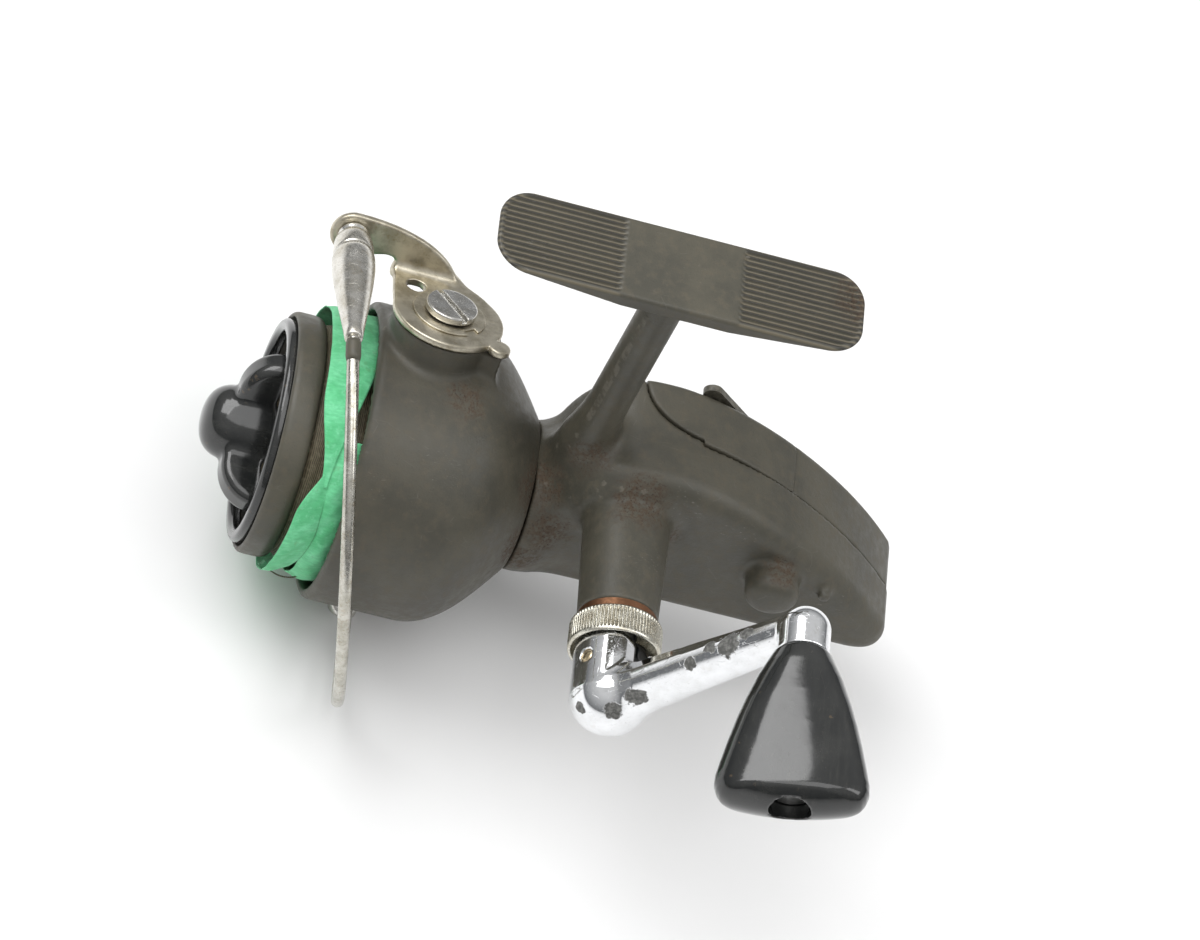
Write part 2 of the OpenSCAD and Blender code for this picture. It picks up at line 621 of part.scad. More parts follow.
module bail_cone() color(nickel) reel() on_bail() translate([roller_f, 0, roller_s]) rotate([-90, 0, 0]) {
  translate([0, 0, -8]) cylinder(h = 4.6, r1 = 3.4, r2 = 3.5);
  translate([0, 0, -3.4]) cylinder(h = cone_end + 0.9, r1 = 3.5, r2 = 1.15);
  translate([0, 0, cone_end - 2.5]) cylinder(h = 1.15, r = 1.3);
}

module roller_stud() color(nickel) reel() on_bail() translate([roller_f, fold_h, roller_s]) rotate([-90, 0, 0]) {
  translate([0, 0, -1.7]) cylinder(h = 1.05, r = 2);
  translate([0, 0, -1.7]) cylinder(h = 4.5, r = 1.2);
}

module line_roller() color(nickel) reel() on_bail() translate([roller_f, fold_h, roller_s])
  rotate([-90, 0, 0]) tube(0.85, 2.6, 2.7, 1.2 + run);

module main_shaft() color(steel) reel() along_x() union() {
  translate([0, 0, -87]) cylinder(h = 87 + 18.5, r = shaft_r);
}

// Slotted plate beside the wheel, a bar behind it and a block clamped on the shaft
module slide_carriage() color(brass) reel() difference() {
  union() {
    translate([0, -5.9, 0]) rotate([90, 0, 0]) linear_extrude(1.5) polygon([
      [-69.5, 0], [-65.5, 0], [-65.5, 8.4], [-45.2, 8.4], [-45.2, 18.4],
      [-47, 20.8], [-50.2, 20.8], [-50.2, 11.8], [-69.5, 11.8]]);
    translate([-72, -7.4, -4]) cube([7, 10.4, 8]);
  }
  along_x() translate([0, 0, -80]) cylinder(h = 20, r = shaft_r);
  translate([-handle_back - 1.5, -9, 14.8 - stroke_throw - 1.6]) cube([3, 4, 2 * stroke_throw + 3.2]);
}

module spool_seat() color(steel) reel() along_x() tube(-15, -13.4, 8.5, shaft_r);
module click_pawl() color(steel) reel() along_x() translate([6.9, 0, -13.4]) {
  linear_extrude(1.9) polygon([[0.55, -0.9], [1.5, -0.9], [1.5, 0.9], [0.55, 0.9]]);
}
module drag_washers() color(brass) reel() along_x() {
  tube(6.3, 7, 8.6, shaft_r);
  tube(7, 7.6, 8.2, shaft_r);
  tube(7.6, 8.3, 8.6, shaft_r);
}
module drag_spring() color(steel) reel() along_x()
  for (i = [0:3]) translate([0, 0, 8.75 + 0.9 * i]) rotate_extrude() translate([3.6, 0]) circle(r = 0.45, $fn = 16);

drag_well = 9;
face_x = 10.8;
module spool() color(olive) reel() difference() {
  turned(concat(
    [[-11, 0], [-11, rear_flange_r - 0.4], [-10.6, rear_flange_r], [-9.4, rear_flange_r],
      [-9, rear_flange_r - 0.4], [-9, 14], [7.5, 14], [7.5, flange_r - 0.9]],
    curve([7.8, flange_r - 0.2], [8.2, flange_r], [8.8, flange_r], [10.2, flange_r], 3),
    curve([11.4, flange_r], [12.1, flange_r], [spool_front, flange_r - 0.4], [spool_front, flange_r - 0.9], 4),
    [[10.1, flange_r - 1.1], [10.1, 0]]));
  along_x() translate([0, 0, -12]) cylinder(h = 30, r = spool_bore);
  along_x() translate([0, 0, 6]) cylinder(h = 8, r = drag_well);
  // Lightening bore from the back
  along_x() translate([0, 0, -12]) difference() {
    cylinder(h = 12, r = 12.2);
    translate([0, 0, -1]) cylinder(h = 20, r = 7.8);
  }
}

module spool_face() color(chrome) reel() along_x() tube(10.1, face_x, 17.2, drag_well);

// Toothed ring on the spool's back, which the pawl clicks against
module click_gear() color(brass) reel() along_x() difference() {
  translate([0, 0, -11.9]) linear_extrude(0.9) polygon(tooth_points(30, 6.6, 0.4, 0.4, 0.3, 0.1));
  translate([0, 0, -13]) cylinder(h = 4, r = 3.2);
}

module line_winding() color([0.36, 0.33, 0.24]) reel()
  turned([[-9, 14], [-9, 19.4], [-7, 20.2], [5.5, 20], [7.5, 19], [7.5, 14]]);

// Paper tape wound loosely round the filled spool
module line_tape() color([0.3, 0.78, 0.5]) reel() turned([[-2.2, 20.16], [-1.8, 22.6], [0.5, 23.1],
  [2.2, 22.3], [4.6, 22.9], [7.1, 22.4], [7.4, 21.4], [7.4, 20.4], [7.2, 19.2], [5.5, 20]]);

module drag_knob() color(black) reel() along_x() difference() {
  union() {
    tube(11.4, 13.8, 19.3, 17);
    translate([0, 0, 11.4]) cylinder(h = 5, r = 6.6);
    rotate_extrude() polygon(concat([[0, 14], [6.6, 14]],
      curve([6.5, 17], [6.5, 21.5], [4.6, drag_tip], [0, drag_tip], 8)));
    for (i = [0:drag_lobes - 1]) rotate([0, 0, 82 + i * 360 / drag_lobes])
      rotate([90, 0, 0]) linear_extrude(5.5, center = true) intersection() {
        translate([9.6, 12.6]) scale([8.2, 6.4]) circle(r = 1, $fn = 48);
        translate([3, 11.4]) square([20, 20]);
      }
  }
  translate([0, 0, 11]) cylinder(h = 5.6, r = 4.9);
  translate([0, 0, 16]) cylinder(h = 4, r = 3.9);
}

module drag_nut() color(brass) reel() along_x() tube(16, 19.6, 3.9, shaft_r + run);

gear_housing();
side_cover();
cover_screws();
front_bearing();
bearing_retainer();
rotor_rear_bush();
shaft_rear_bush();
handle_bush_outer();
handle_bush_inner();
handle_shaft();
drive_gear();
eccentric_pin();
ratchet_wheel();
lock_collar();
crank_arm();
fold_pin();
handle_knob();
knob_rivet();
anti_reverse_lever();
anti_reverse_shaft();
anti_reverse_pawl();
rotor_cup();
rotor_worm();
rotor_nut();
balance_weight();
bail_pivot_screw();
rear_pivot_bolt();
bail_spring();
trip_lever_pin();
trip_lever();
bail_arm();
pivot_washer();
bail_wire();
bail_cone();
roller_stud();
line_roller();
main_shaft();
slide_carriage();
spool_seat();
click_pawl();
drag_washers();
drag_spring();
spool();
spool_face();
click_gear();
line_winding();
line_tape();
drag_knob();
drag_nut();
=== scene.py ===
"""Spinning reel: the visual model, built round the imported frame.

Shapes are worked out in the reel's own axes, in millimetres: the origin is the centre of the
rotor's rim, +X runs forward along the spool shaft, +Y to the handle side, +Z to the foot.
"""
import json
import math

import bpy
import numpy as np
from mathutils import Matrix, Vector


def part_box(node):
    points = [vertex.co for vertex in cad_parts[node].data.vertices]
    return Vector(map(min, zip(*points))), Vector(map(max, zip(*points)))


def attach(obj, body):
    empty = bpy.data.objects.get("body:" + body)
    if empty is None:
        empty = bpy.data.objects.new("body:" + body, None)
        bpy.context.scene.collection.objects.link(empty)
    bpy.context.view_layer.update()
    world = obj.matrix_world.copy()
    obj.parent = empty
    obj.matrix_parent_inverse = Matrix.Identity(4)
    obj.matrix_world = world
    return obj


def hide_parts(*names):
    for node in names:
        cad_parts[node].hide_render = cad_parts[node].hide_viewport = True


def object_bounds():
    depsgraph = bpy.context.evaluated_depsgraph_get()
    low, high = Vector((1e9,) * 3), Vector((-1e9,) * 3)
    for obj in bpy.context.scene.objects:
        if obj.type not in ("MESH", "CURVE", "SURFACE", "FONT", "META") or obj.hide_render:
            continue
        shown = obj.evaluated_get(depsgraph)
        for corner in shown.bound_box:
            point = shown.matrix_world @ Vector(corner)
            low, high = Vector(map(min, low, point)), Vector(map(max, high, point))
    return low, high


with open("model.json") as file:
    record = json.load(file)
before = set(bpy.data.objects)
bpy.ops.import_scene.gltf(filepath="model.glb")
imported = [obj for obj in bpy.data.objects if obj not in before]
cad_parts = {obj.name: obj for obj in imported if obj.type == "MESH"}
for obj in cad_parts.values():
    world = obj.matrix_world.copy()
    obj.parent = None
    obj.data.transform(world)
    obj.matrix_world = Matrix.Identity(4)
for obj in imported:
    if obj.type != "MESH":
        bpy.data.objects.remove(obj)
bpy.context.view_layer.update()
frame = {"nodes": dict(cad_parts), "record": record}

MM = 0.001
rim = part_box("rotor_cup")[1].x
shaft_low, shaft_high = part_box("main_shaft")
ORIGIN = Vector((rim, 0.0, (shaft_low.z + shaft_high.z) / 2))

# ---------------------------------------------------------------- driving sizes, mm
STEM_BACK = 38.0
SEAT_Z = 72.4
STEM_R = 3.45
HANDLE_X, HANDLE_Z = -47.7, 14.8
LEVER_X, LEVER_Z = -75.5, 8.3
SIDE_Y, FAR_Y, SEAM_Y = 9.5, -11.7, -1.6
WALL = 1.6
CAVITY_FRONT, COVER_FRONT, COVER_STEP_Z = -38.7, -40.5, 17.25
SHAFT_BORE_R, BEARING_R, HANDLE_BORE_R = 5.4, 8.0, 5.2
WIRE_R, WIRE_EYE_S = 1.05, -28.2
NECK_R = 12.9
ROTOR_R, ROTOR_WALL = 25.7, 1.6
PIVOT_X, BAIL_TILT = -10.3, math.radians(23)
EAR_TOP = 29.4
PLATE_LOW, PLATE_T = 29.7, 1.3
FOLD_H = -10.9
ROLLER_F, ROLLER_S = 17.7, 35.0
PIN_Y, FORK_R, ELBOW_Y = 40.3, 6.6, 45.1
CRANK_ANGLE, THROW = math.radians(57.5), 41.0
KNOB_BACK, KNOB_END, KNOB_TURN = 51.2, 80.3, math.radians(-39)


# ---------------------------------------------------------------- frames of the moving parts
Z_TO_Y = Matrix.Rotation(math.radians(-90), 4, "X")


def reel_matrix():
    return Matrix.Translation(ORIGIN) @ Matrix.Diagonal((MM, MM, MM, 1))


def bail_matrix():
    """X forward, Y to the bail's bulge, Z along the pivots, origin between the pivots."""
    return reel_matrix() @ Matrix.Rotation(BAIL_TILT, 4, "X") @ Matrix.Translation((PIVOT_X, 0, 0))


def crank_matrix():
    """X along the crank arm, Z along the handle shaft, away from the casing."""
    turn = Z_TO_Y @ Matrix.Rotation(math.pi + CRANK_ANGLE, 4, "Z")
    return reel_matrix() @ Matrix.Translation((HANDLE_X, 0, HANDLE_Z)) @ turn


def shaft_matrix():
    """Z along the spool shaft, pointing forward."""
    return reel_matrix() @ Matrix.Rotation(math.radians(90), 4, "Y")


# ---------------------------------------------------------------- mesh helpers
def enclosed_volume(verts, faces):
    """Volume inside a closed mesh; it is below 0 when the faces look inward."""
    total = 0.0
    groups = [faces] if isinstance(faces, np.ndarray) else [np.array([f]) for f in faces]
    for group in groups:
        for k in range(1, group.shape[1] - 1):
            a, b, c = verts[group[:, 0]], verts[group[:, k]], verts[group[:, k + 1]]
            total += np.einsum("ij,ij->i", a, np.cross(b, c)).sum() / 6
    return total


def add_piece(name, verts, faces, matrix, material, body, slot, nodes=()):
    """A mesh in millimetres, placed by matrix, that rides on a body and replaces CAD nodes."""
    mesh = bpy.data.meshes.new(name)
    verts = np.asarray(verts, float)
    m = np.array(matrix)
    placed = verts @ m[:3, :3].T + m[:3, 3]
    if enclosed_volume(placed - placed.mean(0), faces) < 0:
        faces = faces[:, ::-1] if isinstance(faces, np.ndarray) else [f[::-1] for f in faces]
    if isinstance(faces, np.ndarray):
        count, size = faces.shape
        mesh.vertices.add(len(placed))
        mesh.vertices.foreach_set("co", placed.astype(np.float32).ravel())
        mesh.loops.add(count * size)
        mesh.loops.foreach_set("vertex_index", faces.astype(np.int32).ravel())
        mesh.polygons.add(count)
        mesh.polygons.foreach_set("loop_start", np.arange(0, count * size, size, dtype=np.int32))
        mesh.polygons.foreach_set("loop_total", np.full(count, size, dtype=np.int32))
        mesh.update(calc_edges=True)
        mesh.validate()
    else:
        mesh.from_pydata([tuple(v) for v in placed], [], faces)
    mesh.polygons.foreach_set("use_smooth", [True] * len(mesh.polygons))
    obj = bpy.data.objects.new(name, mesh)
    bpy.context.scene.collection.objects.link(obj)
    mesh.materials.append(material)
    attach(obj, body)
    if nodes:
        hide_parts(*nodes)
    return obj


def bezier(a, b, c, d, n):
    a, b, c, d = (np.array(p, float) for p in (a, b, c, d))
    t = np.linspace(0, 1, n + 1)[:, None]
    return (1 - t) ** 3 * a + 3 * (1 - t) ** 2 * t * b + 3 * (1 - t) * t * t * c + t ** 3 * d


def rounded(points, radius, steps=4):
    """A closed outline with its corners rounded; radius is a number, or one for each corner."""
    out = []
    n = len(points)
    radii = [radius] * n if np.isscalar(radius) else radius
    for i in range(n):
        p, a, b = (np.array(points[k % n], float) for k in (i, i - 1, i + 1))
        ua, ub = a - p, b - p
        la, lb = np.linalg.norm(ua), np.linalg.norm(ub)
        cut = min(radii[i], la * 0.45, lb * 0.45)
        if cut < 1e-4:
            out.append(p)
            continue
        start, end = p + ua / la * cut, p + ub / lb * cut
        for k in range(steps + 1):
            t = k / steps
            out.append((1 - t) ** 2 * start + 2 * (1 - t) * t * p + t * t * end)
    return np.array(out)


def lathe(profile, segments=160, ripple=None):
    """Solid of revolution about Z from a closed outline of [r, z] points.
    ripple(angle, r, z) gives what is added to r."""
    profile = np.asarray(profile, float)
    n = len(profile)
    angles = np.linspace(0, 2 * math.pi, segments, endpoint=False)
    r = np.repeat(profile[None, :, 0], segments, 0)
    z = np.repeat(profile[None, :, 1], segments, 0)
    a = np.repeat(angles[:, None], n, 1)
    if ripple is not None:
        r = r + ripple(a, r, z)
    verts = np.stack([r * np.cos(a), r * np.sin(a), z], -1).reshape(-1, 3)
    faces = []
    for i in range(segments):
        j = (i + 1) % segments
        for k in range(n):
            m = (k + 1) % n
            faces.append((i * n + k, j * n + k, j * n + m, i * n + m))
    return verts, np.array(faces)


def spindle(profile, segments=96):
    """Solid of revolution whose outline starts and ends on the axis."""
    profile = np.asarray(profile, float)
    inner = profile[1:-1]
    n = len(inner)
    angles = np.linspace(0, 2 * math.pi, segments, endpoint=False)
    verts = [(p[0] * math.cos(a), p[0] * math.sin(a), p[1]) for a in angles for p in inner]
    first, last = len(verts), len(verts) + 1
    verts += [(0, 0, profile[0][1]), (0, 0, profile[-1][1])]
    faces = []
    for i in range(segments):
        j = (i + 1) % segments
        faces.append((first, j * n, i * n))
        faces.append((last, i * n + n - 1, j * n + n - 1))
        for k in range(n - 1):
            faces.append((i * n + k, j * n + k, j * n + k + 1, i * n + k + 1))
    return verts, faces


def sweep(path, radius, sides=20):
    """Round tube along a path; radius is a number or one for each point."""
    path = np.asarray(path, float)
    n = len(path)
    radii = np.full(n, radius) if np.isscalar(radius) else np.asarray(radius, float)
    tangent = np.gradient(path, axis=0)
    tangent /= np.linalg.norm(tangent, axis=1)[:, None]
    up = np.array([0.0, 0.0, 1.0]) if abs(tangent[0][2]) < 0.9 else np.array([1.0, 0.0, 0.0])
    side = np.cross(tangent[0], up)
    verts = []
    for i in range(n):
        side = side - tangent[i] * np.dot(side, tangent[i])
        side /= np.linalg.norm(side)
        other = np.cross(tangent[i], side)
        for k in range(sides):
            a = 2 * math.pi * k / sides
            verts.append(path[i] + radii[i] * (side * math.cos(a) + other * math.sin(a)))
    faces = [(i * sides + k, i * sides + (k + 1) % sides, (i + 1) * sides + (k + 1) % sides,
              (i + 1) * sides + k) for i in range(n - 1) for k in range(sides)]
    faces.append(tuple(range(sides - 1, -1, -1)))
    faces.append(tuple((n - 1) * sides + k for k in range(sides)))
    return verts, faces


# ---------------------------------------------------------------- solids from distance functions
def blend_min(a, b, k):
    h = np.clip(0.5 + 0.5 * (b - a) / k, 0, 1)
    return b * (1 - h) + a * h - k * h * (1 - h)


def rounded_edge(a, b, k):
    """Two distances combined as an intersection whose edge has radius k."""
    qa, qb = a + k, b + k
    return np.minimum(np.maximum(qa, qb), 0) + np.sqrt(np.maximum(qa, 0) ** 2 + np.maximum(qb, 0) ** 2) - k


def rod(along, across, low, high, radius, edge=0.3):
    """Cylinder, given the place along its axis and the distance from it."""
    return rounded_edge(across - radius, np.abs(along - (low + high) / 2) - (high - low) / 2, edge)


def outline_distance(px, pz, points):
    """Signed distance from a closed outline, on arrays px and pz."""
    points = np.asarray(points, float)
    best = np.full(np.broadcast(px, pz).shape, 1e9)
    inside = np.zeros(best.shape, bool)
    n = len(points)
    for i in range(n):
        ax, az = points[i]
        bx, bz = points[(i + 1) % n]
        ex, ez = bx - ax, bz - az
        length2 = ex * ex + ez * ez
        if length2 < 1e-12:
            continue
        t = np.clip(((px - ax) * ex + (pz - az) * ez) / length2, 0, 1)
        best = np.minimum(best, (px - ax - t * ex) ** 2 + (pz - az - t * ez) ** 2)
        if abs(ez) > 1e-12:
            crosses = ((az > pz) != (bz > pz)) & (px < ax + (pz - az) * ex / ez)
            inside ^= crosses
    return np.where(inside, -1.0, 1.0) * np.sqrt(best)


class Outline:
    """An outline's distance, looked up from a fine table."""

    def __init__(self, points, step=0.15, margin=6.0):
        points = np.asarray(points, float)
        self.low = points.min(0) - margin
        high = points.max(0) + margin
        count = np.ceil((high - self.low) / step).astype(int) + 1
        self.step = step
        u = self.low[0] + step * np.arange(count[0])
        v = self.low[1] + step * np.arange(count[1])
        self.table = outline_distance(u[:, None], v[None, :], points)

    def __call__(self, u, v):
        fu = (u - self.low[0]) / self.step
        fv = (v - self.low[1]) / self.step
        fu = np.clip(fu, 0, self.table.shape[0] - 1.001)
        fv = np.clip(fv, 0, self.table.shape[1] - 1.001)
        i, j = fu.astype(int), fv.astype(int)
        s, t = fu - i, fv - j
        tab = self.table
        return ((tab[i, j] * (1 - s) + tab[i + 1, j] * s) * (1 - t)
                + (tab[i, j + 1] * (1 - s) + tab[i + 1, j + 1] * s) * t)


SLAB = 24                                 # layers worked out at once, to spare memory
CORNERS = [(i, j, k) for i in (0, 1) for j in (0, 1) for k in (0, 1)]


def solid(distance, low, high, step):
    """Closed quad mesh of the zero level of a distance function, in millimetres."""
    axes = [np.arange(low[i] - step, high[i] + 2 * step, step) for i in range(3)]
    shape = tuple(len(a) for a in axes)
    values = np.empty(shape)
    for i in range(0, shape[0], SLAB):
        x = axes[0][i:i + SLAB]
        values[i:i + SLAB] = distance(x[:, None, None], axes[1][None, :, None], axes[2][None, None, :])
    values[values == 0] = 1e-9
    inside = values < 0
    total = sum(inside[i:shape[0] - 1 + i, j:shape[1] - 1 + j, k:shape[2] - 1 + k].astype(np.int8)
                for i, j, k in CORNERS)
    active = (total > 0) & (total < 8)
    index = np.full(active.shape, -1)
    cells = np.argwhere(active)
    index[active] = np.arange(len(cells))
    place = np.zeros((len(cells), 3))
    hits = np.zeros(len(cells))
    for axis in range(3):
        others = [a for a in range(3) if a != axis]
        for p in (0, 1):
            for q in (0, 1):
                start = np.zeros(3, int)
                start[others[0]], start[others[1]] = p, q
                end = start.copy()
                end[axis] = 1
                a = values[tuple((cells + start).T)]
                b = values[tuple((cells + end).T)]
                cross = (a < 0) != (b < 0)
                t = np.where(cross, a / np.where(a == b, 1, a - b), 0)
                point = np.repeat(start[None, :].astype(float), len(cells), 0)
                point[:, axis] = t
                place[cross] += point[cross]
                hits[cross] += 1
    verts = np.array([a[0] for a in axes]) + step * (cells + place / hits[:, None])
    quads = []
    for axis in range(3):
        others = [a for a in range(3) if a != axis]
        low_side = [slice(None)] * 3
        high_side = [slice(None)] * 3
        low_side[axis], high_side[axis] = slice(0, -1), slice(1, None)
        change = inside[tuple(low_side)] != inside[tuple(high_side)]
        edges = np.argwhere(change)
        good = (edges[:, others[0]] > 0) & (edges[:, others[1]] > 0)
        edges = edges[good]
        ring = []
        for p, q in ((0, 0), (1, 0), (1, 1), (0, 1)):
            cell = edges.copy()
            cell[:, others[0]] -= p
            cell[:, others[1]] -= q
            ring.append(index[tuple(cell.T)])
        ring = np.stack(ring, 1)
        flip = inside[tuple(edges.T)]
        if axis == 1:
            flip = ~flip
        ring[~flip] = ring[~flip][:, ::-1]
        quads.append(ring)
    faces = np.concatenate(quads)
    nudge = step * 0.15
    for _ in range(2):                       # pull the points onto the true surface
        d = distance(*verts.T)
        gradient = np.stack([(distance(*(verts + nudge * e).T) - distance(*(verts - nudge * e).T))
                             / (2 * nudge)
                             for e in np.eye(3)], 1)
        size = np.maximum((gradient ** 2).sum(1), 0.2)
        move = np.clip(d / size, -0.5 * step, 0.5 * step)
        verts = verts - move[:, None] * gradient
    return verts, faces[:, ::-1]


# ---------------------------------------------------------------- materials
class Shade:
    """A material's node tree, with its places in millimetres in a named frame."""

    def __init__(self, name, matrix=None):
        self.mat = bpy.data.materials.new(name)
        self.mat.use_nodes = True
        self.tree = self.mat.node_tree
        self.tree.nodes.clear()
        out = self.add("ShaderNodeOutputMaterial")
        self.bsdf = self.add("ShaderNodeBsdfPrincipled")
        self.tree.links.new(self.bsdf.outputs[0], out.inputs[0])
        self.raw = self.add("ShaderNodeTexCoord").outputs["Object"]
        self.place = self.local(matrix or reel_matrix())

    def add(self, kind, **values):
        node = self.tree.nodes.new(kind)
        for key, value in values.items():
            setattr(node, key, value)
        return node

    def put(self, socket, value):
        if isinstance(value, bpy.types.NodeSocket):
            self.tree.links.new(value, socket)
        else:
            socket.default_value = value

    def set(self, **values):
        names = {"color": "Base Color", "metal": "Metallic", "rough": "Roughness", "normal": "Normal",
                 "coat": "Coat Weight", "coat_rough": "Coat Roughness", "level": "Specular IOR Level",
                 "sheen": "Sheen Weight", "sheen_rough": "Sheen Roughness"}
        for key, value in values.items():
            self.put(self.bsdf.inputs[names[key]], value)
        return self

    def local(self, matrix):
        """Place in millimetres in a frame."""
        node = self.add("ShaderNodeMapping", vector_type="TEXTURE")
        node.inputs["Location"].default_value = matrix.translation
        node.inputs["Rotation"].default_value = matrix.to_euler()
        node.inputs["Scale"].default_value = (MM, MM, MM)
        self.put(node.inputs["Vector"], self.raw)
        return node.outputs[0]

    def stretch(self, place, x=1.0, y=1.0, z=1.0):
        node = self.add("ShaderNodeVectorMath", operation="MULTIPLY")
        self.put(node.inputs[0], place)
        node.inputs[1].default_value = (x, y, z)
        return node.outputs[0]

    def math(self, operation, a, b=0.5, c=0.5, clamp=False):
        node = self.add("ShaderNodeMath", operation=operation, use_clamp=clamp)
        for socket, value in zip(node.inputs, (a, b, c)):
            self.put(socket, value)
        return node.outputs[0]

    def split(self, place):
        node = self.add("ShaderNodeSeparateXYZ")
        self.put(node.inputs[0], place)
        return node.outputs[0], node.outputs[1], node.outputs[2]

    def noise(self, scale, detail=3.0, rough=0.5, place=None, distortion=0.0):
        node = self.add("ShaderNodeTexNoise")
        self.put(node.inputs["Vector"], self.place if place is None else place)
        node.inputs["Scale"].default_value = scale
        node.inputs["Detail"].default_value = detail
        node.inputs["Roughness"].default_value = rough
        node.inputs["Distortion"].default_value = distortion
        return node.outputs[0]

    def cells(self, scale, feature="F1", place=None):
        node = self.add("ShaderNodeTexVoronoi", feature=feature)
        self.put(node.inputs["Vector"], self.place if place is None else place)
        node.inputs["Scale"].default_value = scale
        return node.outputs["Distance"]

    def step(self, value, low, high, out_low=0.0, out_high=1.0):
        node = self.add("ShaderNodeMapRange", interpolation_type="SMOOTHSTEP")
        self.put(node.inputs["Value"], value)
        for key, number in (("From Min", low), ("From Max", high), ("To Min", out_low),
                            ("To Max", out_high)):
            node.inputs[key].default_value = number
        return node.outputs[0]

    def mix(self, factor, a, b):
        node = self.add("ShaderNodeMix", data_type="RGBA")
        self.put(node.inputs[0], factor)
        for socket, value in ((node.inputs[6], a), (node.inputs[7], b)):
            self.put(socket, value if isinstance(value, bpy.types.NodeSocket) else (*value, 1.0))
        return node.outputs[2]

    def glaze(self, mask, strength, under, over):
        """One colour laid over another, in part."""
        return self.mix(self.math("MULTIPLY", mask, strength), under, over)

    def blend(self, factor, a, b):
        node = self.add("ShaderNodeMix", data_type="FLOAT")
        for socket, value in zip((node.inputs[0], node.inputs[2], node.inputs[3]), (factor, a, b)):
            self.put(socket, value)
        return node.outputs[0]

    def near(self, spot, low, high, place=None, wobble=0.0, scale=1.0):
        """1 at a spot and 0 beyond it, with a ragged edge."""
        node = self.add("ShaderNodeVectorMath", operation="DISTANCE")
        self.put(node.inputs[0], self.place if place is None else place)
        node.inputs[1].default_value = spot
        distance = node.outputs["Value"]
        if wobble:
            ragged = self.math("SUBTRACT", self.noise(scale, 2.0, place=place), 0.5)
            distance = self.math("ADD", distance, self.math("MULTIPLY", ragged, wobble))
        return self.step(distance, low, high, 1.0, 0.0)

    def any(self, *masks):
        out = masks[0]
        for mask in masks[1:]:
            out = self.math("MAXIMUM", out, mask)
        return out

    def both(self, a, b):
        return self.math("MULTIPLY", a, b)

    def edges(self, low=0.52, high=0.58):
        """1 on convex edges."""
        return self.step(self.add("ShaderNodeNewGeometry").outputs["Pointiness"], low, high)

    def bump(self, height, depth, strength=1.0, before=None):
        """Height is 0 to 1, depth in millimetres."""
        node = self.add("ShaderNodeBump")
        node.inputs["Strength"].default_value = strength
        node.inputs["Distance"].default_value = depth * MM
        self.put(node.inputs["Height"], height)
        if before is not None:
            self.put(node.inputs["Normal"], before)
        return node.outputs[0]


